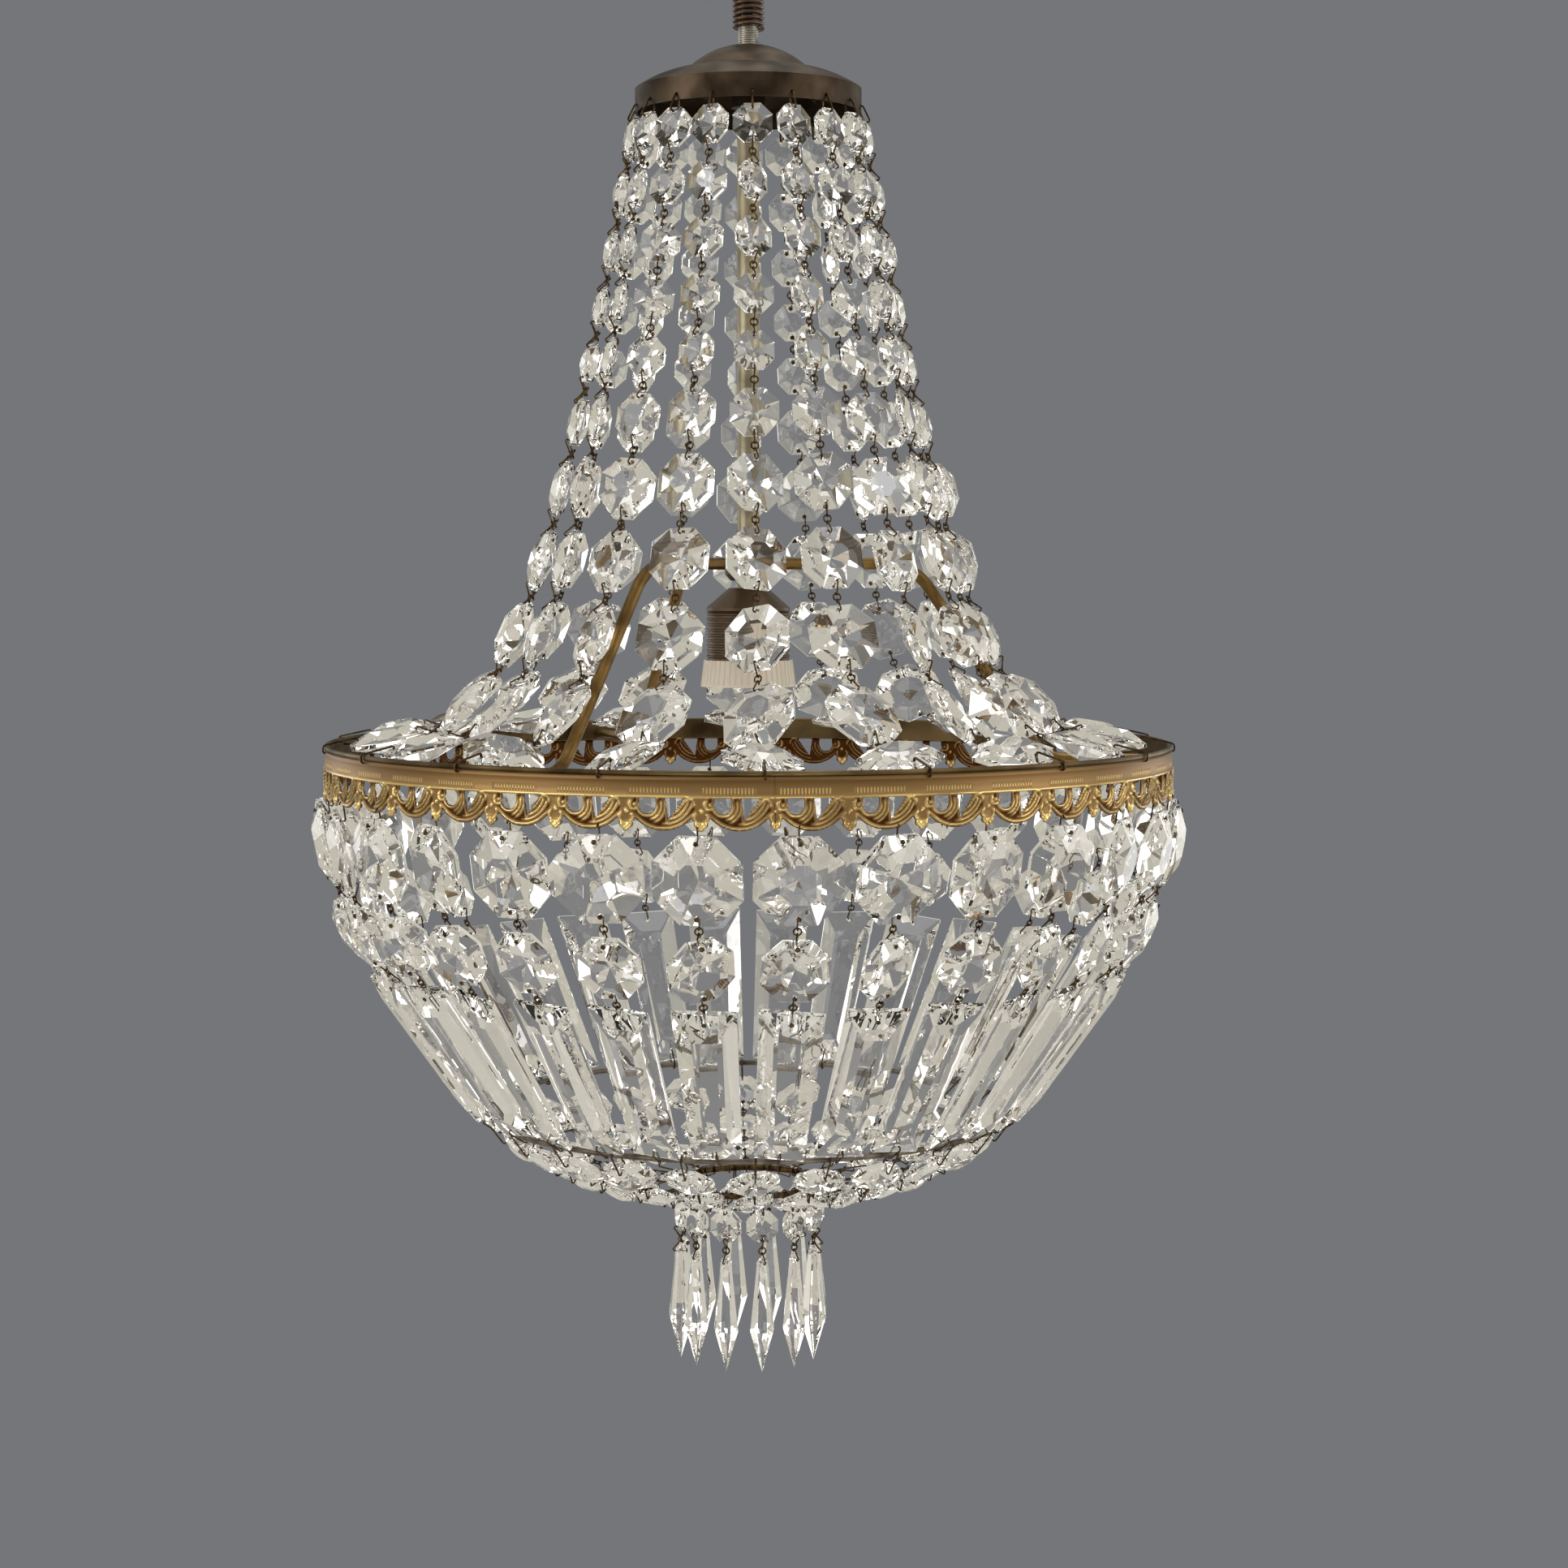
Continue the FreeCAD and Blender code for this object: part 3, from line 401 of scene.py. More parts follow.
def wire_along(path, radii, closed):
    """A round wire along a path of depth and height, as points and faces: each ring is the
    path plus the radius times (normal cos u + across sin u)."""
    if closed:
        way = np.roll(path, -1, 0) - np.roll(path, 1, 0)
    else:
        way = np.gradient(path, axis=0)
    way = way / np.linalg.norm(way, axis=1, keepdims=True)
    turn = 2 * math.pi * np.arange(wire_sides) / wire_sides
    radii = np.broadcast_to(radii, len(path))[:, None]
    across = radii * np.sin(turn)
    depth = path[:, :1] + radii * np.cos(turn) * way[:, 1:]
    height = path[:, 1:] - radii * np.cos(turn) * way[:, :1]
    faces = turned_over(grid_faces(len(path), wire_sides, close_rows=closed).tolist())
    if not closed:
        last = (len(path) - 1) * wire_sides
        faces.append(list(range(wire_sides)))
        faces.append(list(reversed(range(last, last + wire_sides))))
    return np.stack([across, depth, height], -1).reshape(-1, 3), faces


def arc(centre, radius, start, end, steps):
    """Points along an arc in the plane of depth and height, with its angles in degrees."""
    turn = np.radians(np.linspace(start, end, steps))
    return np.stack([centre[0] + radius * np.cos(turn), centre[1] + radius * np.sin(turn)], -1)


def pin(depth, reach, toward, head_side):
    """A headed pin through a hole at the origin. Its shank leaves the hole, bends towards the
    eye and hooks round the eye's wire at a reach. Toward is +1 for up and -1 for down, and
    the head is behind for +1 and in front for -1."""
    near, far = depth if head_side > 0 else depth[::-1]
    head = far + pin_head_profile
    knee = arc((-near - wire, -pin_sag - pin_bend), pin_bend, 90, 165, 3)
    hook = arc((0, -reach), hook_radius, 170, 400, 6)
    path = np.vstack([np.stack([head, np.full(4, -pin_sag)], -1), knee, hook])
    radii = np.array([0.5 * pin_head, pin_head, pin_head, wire] + [wire] * (len(knee) + len(hook)))
    points, faces = wire_along(path, radii, closed=False)
    mirrored = head_side * -toward < 0
    return points * (1, head_side, -toward), turned_over(faces) if mirrored else faces


turn = 2 * math.pi * np.arange(10) / 10
eye_path = np.stack([eye_radius * np.cos(turn), eye_radius * np.sin(turn)], -1)
eye_points, eye_faces = wire_along(eye_path, wire, closed=True)
eye_points, eye_faces = eye_points[:, [1, 0, 2]], turned_over(eye_faces)


def link_parts(upper, lower, head_side=1):
    """The two pins and the eye of each link between two rows of crystals."""
    gap = upper["bottom"] - lower["top"]
    length = np.linalg.norm(gap, axis=1, keepdims=True)
    ups = gap / length
    middle = (upper["bottom"] + lower["top"]) / 2
    reach = length.mean() / 2 - eye_radius
    parts = []
    for row, holes, toward in ((upper, upper["bottom"], -1), (lower, lower["top"], 1)):
        points, faces = pin(row["depth"], reach, toward, head_side)
        parts.append((set_out(points, holes, ups, row["turns"], row["yaws"]), faces))
    yaws = (upper["yaws"] + lower["yaws"]) / 2
    parts.append((set_out(eye_points, middle, ups, upper["turns"], yaws), eye_faces))
    return parts


def hang(size, span, depth, place, down, turns, yaws, sag=0.0, sway=0.0):
    """One row of crystals: where each one's two holes are, when some strands hang lower by
    their sag and to the side by their sway."""
    ups = round_about(-down, turns)
    across = np.stack([np.cos(turns), np.sin(turns), 0 * turns], -1)
    shift = np.broadcast_to(sway, turns.shape)[:, None] * across
    middle = round_about(place, turns) + shift - np.broadcast_to(sag, turns.shape)[:, None] * ups
    return {
        "size": size, "depth": depth, "middle": middle, "ups": ups, "turns": turns,
        "yaws": np.broadcast_to(yaws, turns.shape), "place": (place, down), "span": span,
        "top": middle + ups * span / 2, "bottom": middle - ups * span / 2,
    }


def hang_octagons(size, middle, down, turns, yaws, sag=0.0, sway=0.0):
    """One row of octagons."""
    hole = size / 2 - hole_inset(size)
    depth = (front_depth(size, hole), back_depth(size, hole))
    return hang(size, 2 * hole, depth, middle, down, turns, yaws, sag, sway)


def octagon_part(row):
    """The copied points of a row of octagons, with their faces."""
    points = set_out(cut_octagon(row["size"]), row["middle"], row["ups"], row["turns"], row["yaws"])
    return points, shared_octagon_faces


tent_strands = 18
tent_turn = math.radians(2.0)
turns = tent_turn + 2 * math.pi * np.arange(tent_strands) / tent_strands
tent_groups = {
    "tent_upper_octagons": 3, "tent_middle_octagons": 4, "tent_lower_octagons": 3,
    "tent_ledge_octagons": 1,
}
tent_rows = sum(tent_groups.values())
first_yaw = 8
row_yaw = 18
most_yaw = 48
ledge_yaw = 9
# Each strand is threaded by hand, so some are slacker, and each octagon hangs turned a little.
slack = rng.normal(0.6 * mm, 1.1 * mm, tent_strands)
sideways = rng.normal(0, 1.0 * mm, tent_strands)
yaws = rng.normal(0, first_yaw, tent_strands)
tent = []
for name, rows in tent_groups.items():
    group = []
    for size, middle, down in find_row(name, tent_strands, tent_turn, rows, 1):
        share = math.sin(math.pi * min(1.0, (len(tent) + 0.5) / (tent_rows - 0.5)))
        if name == "tent_ledge_octagons":
            share, yaws = 0.0, rng.normal(0, ledge_yaw, tent_strands)
        group.append(hang_octagons(size, middle, down, turns, yaws, share * slack, share * sideways))
        tent.append(group[-1])
        yaws = np.clip(0.5 * yaws + rng.normal(0, row_yaw, tent_strands), -most_yaw, most_yaw)
    parts = [octagon_part(row) for row in group]
    piece = add_parts(name.replace("octagons", "crystals"), parts, crystal, "frame", "crystal")
    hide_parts(name)
parts = sum([link_parts(a, b) for a, b in zip(tent, tent[1:])], [])
tent_pins = add_parts("tent_pins", parts, pin_wire, "frame", "pin_wire", smooth=True)
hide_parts("tent_links")
dress(pin_wire, "tent_hooks", "bottom_ring")


# Arms and their hub. Three brass rods, bent over a form and brazed into a turned hub that
# sits on the stem. Their feet are brazed to the inside of the hoop, which they carry.

# Rod brass is golden brown, and darker where nobody has wiped it.
brass_rod = aged_metal(
    "aged_brass_rod", "#5a4526", "#97794a",
    patch=14 * mm, gloss=(0.3, 0.45), mark=0.5 * mm, depth=0.02 * mm)
dress(brass_rod, "support_arms")


# Lampholder. A brown lacquered metal case with rolled ribs, its ivory urea shade ring, and
# inside it a porcelain core with the drawn brass screw shell and the centre contact.

# Brown lacquer lets the sheen of the metal through, and its ribs show as soft bright lines.
brown_lacquer = new_material("brown_lacquered_sheet", {
    "Base Color": linear("#574533"), "Roughness": 0.36, "Metallic": 0.5})[0]
dress(brown_lacquer, "lampholder_cap", "lampholder_body")
# Old urea is a warm ivory with a dull shine.
ivory = new_material("ivory_urea_moulding", {"Base Color": linear("#e6dacb"), "Roughness": 0.35})[0]
dress(ivory, "shade_ring")
# Glazed porcelain is a cool white, and shinier than the ring round it.
porcelain = new_material("glazed_porcelain", {"Base Color": linear("#e4e2dc"), "Roughness": 0.3})[0]
dress(porcelain, "socket_core")
dress(brass_rod, "screw_shell", "centre_contact")


# Band. A flat brass hoop with a rolled lip, brown from age, and round it a gallery strip
# stamped from thin brass: a row of scrolls with a window in each, gilt over the relief.

# The hoop is a darker brown than the strip, with a thin bright line along its lip.
hoop_brass = aged_metal(
    "age_browned_hoop_brass", "#3b2d1d", "#7b6747",
    patch=26 * mm, gloss=(0.32, 0.5), mark=0.7 * mm, depth=0.02 * mm)
dress(hoop_brass, "band_hoop")

# The pattern is drawn in plain millimetres on the unrolled strip: s to the right of the leaf
# between two scrolls, and t down from the ledge, the lower edge of the strip's plain part.
band_radius = 200
girth = 2 * math.pi * band_radius
motifs = 40
pitch = girth / motifs
motif_turn = math.radians(3.0)
strip_radius = 199.75
sheet = 0.5 * mm
strip_low, strip_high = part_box("gallery_strip")
ledge_depth = 8.1
tick_pitch = 1.45
tick_level = -2.3

# Gilding keeps its shine on the raised work, and turns brown on the plain metal and nearly
# red in the hollows, so the colour follows the height of the relief. The bright gold on the
# raised work is partly kept gilding and partly painted highlight, and the dark red in the
# hollows is partly tarnish and partly painted shade.
gilt, tree, shader = new_material("stamped_gilt_brass", {"Metallic": 1.0})
place = add_node(tree, "ShaderNodeTexCoord", {}).outputs["Object"]
flat = add_node(tree, "ShaderNodeVectorMath", {0: place, 1: (1.0, 1.0, 0.0)}, operation="MULTIPLY")
reach = add_node(tree, "ShaderNodeVectorMath", {0: flat.outputs["Vector"]}, operation="LENGTH")
# Painted shade with tarnish: the colour darkens from the plain sheet down into the hollows.
plain = add_node(tree, "ShaderNodeMapRange", {
    "Value": reach.outputs["Value"],
    "From Min": (strip_radius - 0.35) * mm, "From Max": strip_radius * mm})
# Painted highlight with kept gilding: the colour brightens to gold as the relief rises.
raised = add_node(tree, "ShaderNodeMapRange", {
    "Value": reach.outputs["Value"],
    "From Min": (strip_radius + 0.1) * mm, "From Max": (strip_radius + 0.6) * mm})
worn = add_node(tree, "ShaderNodeTexNoise", {"Vector": place, "Scale": 1 / (25 * mm), "Detail": 3.0})
kept = add_node(tree, "ShaderNodeMapRange", {
    "Value": worn.outputs["Fac"], "From Min": 0.2, "From Max": 0.55})
share = add_node(tree, "ShaderNodeMath", {
    0: raised.outputs["Result"], 1: kept.outputs["Result"]}, operation="MULTIPLY")

# A row of fine ticks is punched along the plain part, in one group over each scroll. Their
# colour goes part of the way to the bright gold, partly as rubbed brass and partly as a
# painted highlight.
axes = add_node(tree, "ShaderNodeSeparateXYZ", {"Vector": place})
turned = add_node(tree, "ShaderNodeMath", {
    0: axes.outputs["X"], 1: axes.outputs["Y"]}, operation="ARCTAN2").outputs["Value"]
waves = []
for spacing, low, high in ((tick_pitch, -0.2, 0.6), (pitch, -0.6, -0.5)):
    cycles = round(girth / spacing)
    wave = add_node(tree, "ShaderNodeMath", {0: turned, 1: cycles}, operation="MULTIPLY")
    wave = add_node(tree, "ShaderNodeMath", {0: wave.outputs["Value"]}, operation="SINE")
    waves.append(add_node(tree, "ShaderNodeMapRange", {
        "Value": wave.outputs["Value"], "From Min": low, "From Max": high}).outputs["Result"])
tick_height = strip_high.z - (tick_level + ledge_depth) * mm
away = add_node(tree, "ShaderNodeMath", {0: axes.outputs["Z"], 1: tick_height}, operation="SUBTRACT")
away = add_node(tree, "ShaderNodeMath", {0: away.outputs["Value"]}, operation="ABSOLUTE")
within = add_node(tree, "ShaderNodeMapRange", {
    "Value": away.outputs["Value"], "From Min": 0.6 * mm, "From Max": 1.5 * mm,
    "To Min": 1.0, "To Max": 0.0})
punched = add_node(tree, "ShaderNodeMath", {0: waves[0], 1: waves[1]}, operation="MULTIPLY")
punched = add_node(tree, "ShaderNodeMath", {
    0: punched.outputs["Value"], 1: within.outputs["Result"]}, operation="MULTIPLY")
# Painted highlight on the ticks, with some rubbed brass: 0.6 of the way to the bright gold.
rubbed = add_node(tree, "ShaderNodeMath", {0: punched.outputs["Value"], 1: 0.6}, operation="MULTIPLY")
share = add_node(tree, "ShaderNodeMath", {
    0: share.outputs["Value"], 1: rubbed.outputs["Value"]}, operation="MAXIMUM")
bump = add_node(tree, "ShaderNodeBump", {
    "Height": punched.outputs["Value"], "Strength": 1.0, "Distance": 0.6 * mm})
tree.links.new(bump.outputs["Normal"], shader.inputs["Normal"])

# Dark red in the hollows is tarnish and painted shade; the bright gold is kept gilding and painted
# highlight.
colour = add_node(tree, "ShaderNodeMix", {
    "Factor": plain.outputs["Result"], "A": linear("#4e2e14"), "B": linear("#94764f")},
    data_type="RGBA")
colour = add_node(tree, "ShaderNodeMix", {
    "Factor": share.outputs["Value"], "A": colour.outputs["Result"], "B": linear("#f0d18c")},
    data_type="RGBA")
tree.links.new(colour.outputs["Result"], shader.inputs["Base Color"])
dull = add_node(tree, "ShaderNodeMapRange", {
    "Value": raised.outputs["Result"], "To Min": 0.42, "To Max": 0.26})
tree.links.new(dull.outputs["Result"], shader.inputs["Roughness"])

lobe_centre, lobe_radius = (15.7, -2.0), 16.2
leaf_radius, leaf_foot = 4.0, 7.6
beads, bead_radius = ((-1.5, 11.6), (1.5, 11.6), (0, 13.0)), 1.5
window_centre, window_radius = (9.1, 3.7), 3.5
window_top = 0.7
ledge_edge = 0.8
fan_left, fan_left_slope = 16.5, 0.14
fan_right, fan_right_slope = 24.9, 0.72
crest_centre = (16.0, -1.0)
# Centre, radius, first and last angle, width and height of each raised line: the rim of the
# lobe, the rings round the window, the crest's lines, the two curls, and the leaf's sides.
flutes = (
    (lobe_centre, 15.1, 30, 150, 0.5, 1.0),
    (window_centre, 4.4, -20, 190, 0.5, 1.1),
    (window_centre, 6.0, -24, 84, 0.5, 1.15),
    (window_centre, 7.6, -20, 74, 0.5, 0.95),
    (crest_centre, 9.0, 14, 74, 0.45, 0.95),
    (crest_centre, 10.7, 8, 84, 0.5, 1.2),
    (crest_centre, 12.4, 10, 96, 0.5, 1.1),
    ((26.6, 2.8), 1.9, 150, 420, 0.5, 1.15),
    ((3.6, 3.4), 1.9, -40, 260, 0.5, 1.15),
    ((0.4, 8.8), 2.6, -50, 60, 0.5, 1.1),
    ((31.0, 8.6), 2.4, 120, 240, 0.5, 1.0),
)
knobs = [(bead, 1.4) for bead in beads] + [((3.7, 3.4), 0.9), ((0.2, 6.0), 0.9)]
knob_foot = 0.2
hollow = 0.4
cove_depth, cove_middle, cove_reach = 0.2, -6.0, 2.0
motif_columns = 46
plain_rows, plain_end = 5, -0.8
motif_rows, motif_start = 28, -0.3
snap = 0.34
small_step = 0.01


def disc(s, t, centre, radius):
    """How far inside a circle a point is."""
    return radius - np.hypot(s - centre[0], t - centre[1])


def flute(s, t, centre, radius, start, end, width, height):
    """A raised line along an arc: height exp(-(d / width)^2), where d is the distance from
    the arc, faded over its first and last sixth. Angles run from the right over the bottom."""
    turn = np.degrees(np.arctan2(t - centre[1], s - centre[0]))
    share = ((turn - start) % 360) / (end - start)
    fade = np.clip(np.minimum(share, 1 - share) * 6, 0, 1)
    return height * fade * np.exp(-(disc(s, t, centre, radius) / width) ** 2)


def from_leaf(s):
    """The distance to the right of the nearest leaf."""
    return (s + pitch / 2) % pitch - pitch / 2


def inside_metal(s, t):
    """Positive in the metal of one scroll: the lobe with the leaf and its three beads between
    two lobes, less the round-bottomed window and the fan-shaped one."""
    right = from_leaf(s)
    s = s % pitch
    lobe = disc(s, t, lobe_centre, lobe_radius)
    leaf = leaf_radius - np.hypot(right, np.maximum(t - leaf_foot, 0))
    cluster = np.maximum.reduce([disc(right, t, bead, bead_radius) for bead in beads])
    metal = np.maximum.reduce([lobe, leaf, cluster, ledge_edge - t])
    middle, sill = window_centre
    arch = disc(s, t, window_centre, window_radius)
    window = np.where(t > sill, arch, window_radius - np.abs(s - middle))
    window = np.minimum(window, t - window_top)
    fan = np.minimum.reduce([
        t - window_top, s - fan_left - fan_left_slope * t, fan_right - fan_right_slope * t - s])
    return np.minimum.reduce([metal, -window, -fan])


def relief(s, t):
    """The stamped height in millimetres: the greatest of the raised lines exp(-(d / w)^2) and
    the domes sqrt(depth inside the knob), over a ground that is hollow in the scrolls and
    coved along the plain part."""
    right = from_leaf(s)
    edge = inside_metal(s, t)
    s = s % pitch
    raised = [
        0.65 * np.exp(-((edge - 0.5) / 0.45) ** 2) * (t > window_top),
        0.8 * np.exp(-((t - 0.1) / 0.45) ** 2),
    ]
    raised += [flute(s, t, *line) for line in flutes]
    for centre, radius in knobs:
        dome = np.sqrt(np.clip(disc(right, t, centre, radius), 0, 1))
        raised.append(np.where(dome > 0, dome + knob_foot, 0))
    ground = -hollow * np.clip((t - 0.6) / 0.6, 0, 1) * np.clip((np.abs(right) - 2.2) / 0.8, 0, 1)
    cove = -cove_depth * np.clip(1 - ((t - cove_middle) / cove_reach) ** 2, 0, 1)
    return np.maximum.reduce(raised) + ground + cove


def stamped_strip():
    """The strip as two grids, the face and the back of the sheet, walled along every edge.
    Grid points close to the outline are moved onto it along its steepest way."""
    columns = motif_columns * motifs
    bottom = (strip_high.z - strip_low.z) / mm - ledge_depth
    levels = np.concatenate([
        np.linspace(-ledge_depth, plain_end, plain_rows), np.linspace(motif_start, bottom, motif_rows)])
    step = pitch / motif_columns
    t, s = np.meshgrid(levels, np.arange(columns) * step, indexing="ij")
    inside = inside_metal(s, t)
    steep_s = (inside_metal(s + small_step, t) - inside_metal(s - small_step, t)) / (2 * small_step)
    steep_t = (inside_metal(s, t + small_step) - inside_metal(s, t - small_step)) / (2 * small_step)
    reach = inside / np.maximum(steep_s ** 2 + steep_t ** 2, 0.2)
    near = np.abs(inside) < snap
    s = s - np.where(near, reach * steep_s, 0)
    t = t - np.where(near & (t > -motif_start), reach * steep_t, 0)
    kept = (inside > 0) | near
    quads = grid_faces(len(levels), columns)
    quads = quads[kept.reshape(-1)[quads].all(1)]
    left_side = s.reshape(-1)[quads[:, [0, 3]]].mean(1)
    middle = inside_metal(left_side + step / 2, t.reshape(-1)[quads].mean(1))
    quads = quads[middle > 0]
    turn = motif_turn + s / strip_radius
    height = strip_high.z - (t + ledge_depth) * mm
    shells = []
    for shift in (0.0, -sheet):
        radius = (strip_radius + relief(s, t)) * mm + shift
        shell = np.stack([radius * np.sin(turn), -radius * np.cos(turn), height], -1)
        shells.append(shell.reshape(-1, 3))
    count = len(shells[0])
    front = quads[:, ::-1]
    edges = np.stack([front, np.roll(front, -1, 1)], -1).reshape(-1, 2)
    keys = np.sort(edges, 1) @ (count, 1)
    first, uses = np.unique(keys, return_index=True, return_counts=True)[1:]
    rim = edges[first[uses == 1]]
    walls = np.concatenate([rim[:, ::-1], rim + count], 1)
    return np.vstack(shells), np.concatenate([front, quads + count, walls])


strip = add_piece("stamped_gallery", *stamped_strip(), gilt, "frame", "gilt_brass", smooth=True)
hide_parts("gallery_strip")


# Basket. Thirty strands hang from the strip's edge: a large octagon, a smaller one and a
# long bevelled plaque each, hooked by their lower ends to a ring of plain thick wire.

wire_slack = 0.25 * mm
bend_room = 0.3 * mm


def bends(hole, axis, pull, near, far):
    """The two discs that a wire bends round where it goes through a hole, in radius and
    height, when it is pulled to one side."""
    seat = np.array(hole) + np.array(pull) * (wire_slack + pin_bend)
    outer = seat + np.array(axis) * (near + bend_room)
    inner = seat - np.array(axis) * (far + bend_room)
    return [(outer, pin_bend), (inner, pin_bend)]


def crystal_bends(row, side):
    """The bends of a hook through a crystal's top (1) or bottom (-1) hole."""
    middle, down = row["place"]
    return bends(middle - side * down * row["span"] / 2, (-down[1], down[0]), -side * down, *row["depth"])


def closed_hook(discs, turns, steps=16):
    """A closed wire hook round some discs, as one part: for each way, the disc that reaches
    furthest that way, at its rim."""
    centres = np.array([d[0] for d in discs])
    radii = np.array([d[1] for d in discs])
    turn = 2 * math.pi * np.arange(steps) / steps
    normals = np.stack([np.cos(turn), np.sin(turn)], -1)
    chosen = np.argmax(normals @ centres.T + radii, 1)
    path = centres[chosen] + radii[chosen][:, None] * normals
    points, faces = wire_along(path * (-1, 1), wire, closed=True)
    ups = round_about((0.0, 1.0), turns)
    return set_out(points, 0 * ups, ups, turns), faces


basket_strands = 30
basket_turn = math.radians(6.0)
turns = basket_turn + 2 * math.pi * np.arange(basket_strands) / basket_strands
basket = []
# The large octagons hang stiffly side by side, and the smaller ones turn more freely.
for name, spread in (("basket_large_octagons", 7), ("basket_second_octagons", 13)):
    size, middle, down = find_row(name, basket_strands, basket_turn, 1, 1)[0]
    yaws = np.clip(rng.normal(0, spread, basket_strands), -2 * spread, 2 * spread)
    basket.append(hang_octagons(size, middle, down, turns, yaws))
    piece = add_parts(name.replace("octagons", "crystals"), [octagon_part(basket[-1])],
                      crystal, "frame", "crystal")
    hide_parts(name)

plaque_length = 87.0 * mm
plaque_top_width = 28.0 * mm
plaque_bottom_width = 22.0 * mm
plaque_edge = 2.2 * mm
plaque_rise = 4.2 * mm
plaque_bevel = 8.5 * mm
plaque_end_bevel = 13.0 * mm
plaque_hole_inset = 5.0 * mm
plaque_back_rise = 2.6 * mm
plaque_yaw = 8
most_plaque_yaw = 14


def plaque():
    """The points and faces of a plaque bevelled on both sides, more in front than behind:
    for each side its edge and its table, four corners each from the upper right, then the
    rings of the two holes."""
    half = plaque_length / 2
    inner = half - plaque_end_bevel
    mean = (plaque_top_width + plaque_bottom_width) / 4
    taper = (plaque_top_width - plaque_bottom_width) / (4 * half)
    points, faces = [], []
    for side, rise in ((-1, plaque_rise), (1, plaque_back_rise)):

        def depth(up):
            return side * (plaque_edge / 2 + rise * (half - np.abs(up)) / plaque_end_bevel)

        for up, inset in ((half, 0.0), (inner, plaque_bevel)):
            high, low = mean + taper * up - inset, mean - taper * up - inset
            points.append([(high, depth(up), up), (-high, depth(up), up),
                           (-low, depth(up), -up), (low, depth(up), -up)])
        points += [drilled_ring(up, depth) for up in (half - plaque_hole_inset, plaque_hole_inset - half)]
        start = 0 if side < 0 else 24
        e, t = range(start, start + 4), range(start + 4, start + 8)
        top, low = range(start + 8, start + 16), range(start + 16, start + 24)
        half_faces = [[t[0], t[1], t[2], t[3]], [e[0], t[0], t[3], e[3]], [e[2], t[2], t[1], e[1]]]
        half_faces += four_sided([e[0], e[1], t[1], t[0]], top)
        half_faces += four_sided([e[2], e[3], t[3], t[2]], low)
        faces += half_faces if side < 0 else turned_over(half_faces)
    faces += [[(i + 1) % 4, i, 24 + i, 24 + (i + 1) % 4] for i in range(4)]
    faces += tunnel(range(8, 16), range(32, 40)) + tunnel(range(16, 24), range(40, 48))
    return np.vstack(points), faces


def plaque_place(name, strands, turn):
    """The middle and the way down of a row of plaques, from the four lowest and the four
    highest points of one."""
    plane = strand_points(name, strands, turn)[:, :2]
    order = np.argsort(plane[:, 1])
    low, high = plane[order[:4]].mean(0), plane[order[-4:]].mean(0)
    return (low + high) / 2, (low - high) / np.linalg.norm(low - high)


middle, down = plaque_place("basket_plaques", basket_strands, basket_turn)
span = plaque_length - 2 * plaque_hole_inset
depth = (plaque_edge / 2 + plaque_rise * plaque_hole_inset / plaque_end_bevel, plaque_edge / 2)
yaws = np.clip(rng.normal(0, plaque_yaw, basket_strands), -most_plaque_yaw, most_plaque_yaw)
basket.append(hang(plaque_length, span, depth, middle, down, turns, yaws))
points, faces = plaque()
copies = set_out(points, basket[-1]["middle"], basket[-1]["ups"], turns, yaws)
plaques = add_parts("basket_plaque_crystals", [(copies, faces)], crystal, "frame", "crystal")
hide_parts("basket_plaques")

# The top pins reach through the strip's lower holes and round its edge.
strip_thickness = 0.8 * mm
hook_hole = 2.4 * mm
edge_room = 0.9 * mm
ring_wire = 1.3 * mm
# The thick ring is softer, greyer wire than the pins, and less handled.
ring_metal = aged_metal(
    "grey_tinned_wire", "#574d44", "#8b8175",
    patch=8 * mm, gloss=(0.35, 0.55), mark=0.4 * mm, depth=0.02 * mm)
dress(ring_metal, "lower_wire_ring")
ring_low, ring_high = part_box("lower_wire_ring")
ring_place = (ring_high.x - ring_wire, (ring_low.z + ring_high.z) / 2)
strip_hole = (band_radius * mm - strip_thickness / 2, strip_low.z + hook_hole)
strip_holes = round_about(strip_hole, turns)
ways = strip_holes - basket[0]["top"]
length = np.linalg.norm(ways, axis=1, keepdims=True)
points, faces = pin(basket[0]["depth"], length.mean() - edge_room, 1, -1)
parts = [(set_out(points, basket[0]["top"], ways / length, turns), faces)]
parts += link_parts(basket[0], basket[1], -1) + link_parts(basket[1], basket[2], -1)
ring_grip = (ring_place, ring_wire + wire_slack + wire)
parts.append(closed_hook(crystal_bends(basket[2], -1) + [ring_grip], turns))
basket_pins = add_parts("basket_pins", parts, pin_wire, "frame", "pin_wire", smooth=True)
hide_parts("basket_links")


# Dish. Short strands of small octagons close the basket down to a small ring. Every second
# strand ends in one octagon more, and the others in a long wire, because they would touch.

dish_strands = 24
dish_turn = math.radians(1.5)
dish_yaw = 10
turns = dish_turn + 2 * math.pi * np.arange(dish_strands) / dish_strands
places = find_row("dish_outer_octagons", dish_strands, dish_turn, 1, 0)
places += find_row("dish_inner_octagons", dish_strands, dish_turn, 3, 0)
small_wire = 1.5 * mm
small_low, small_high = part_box("bottom_ring")
small_place = (small_high.x - small_wire, (small_low.z + small_high.z) / 2)
dish = []
for index, (size, middle, down) in enumerate(places):
    last = index == len(places) - 1
    row_turns = turns[::2] if last else turns
    yaws = rng.normal(0, dish_yaw, len(row_turns))
    dish.append(hang_octagons(size, middle, down, row_turns, yaws))
outer = add_parts("dish_outer_crystals", [octagon_part(dish[0])], crystal, "frame", "crystal")
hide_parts("dish_outer_octagons")
parts = [octagon_part(row) for row in dish[1:]]
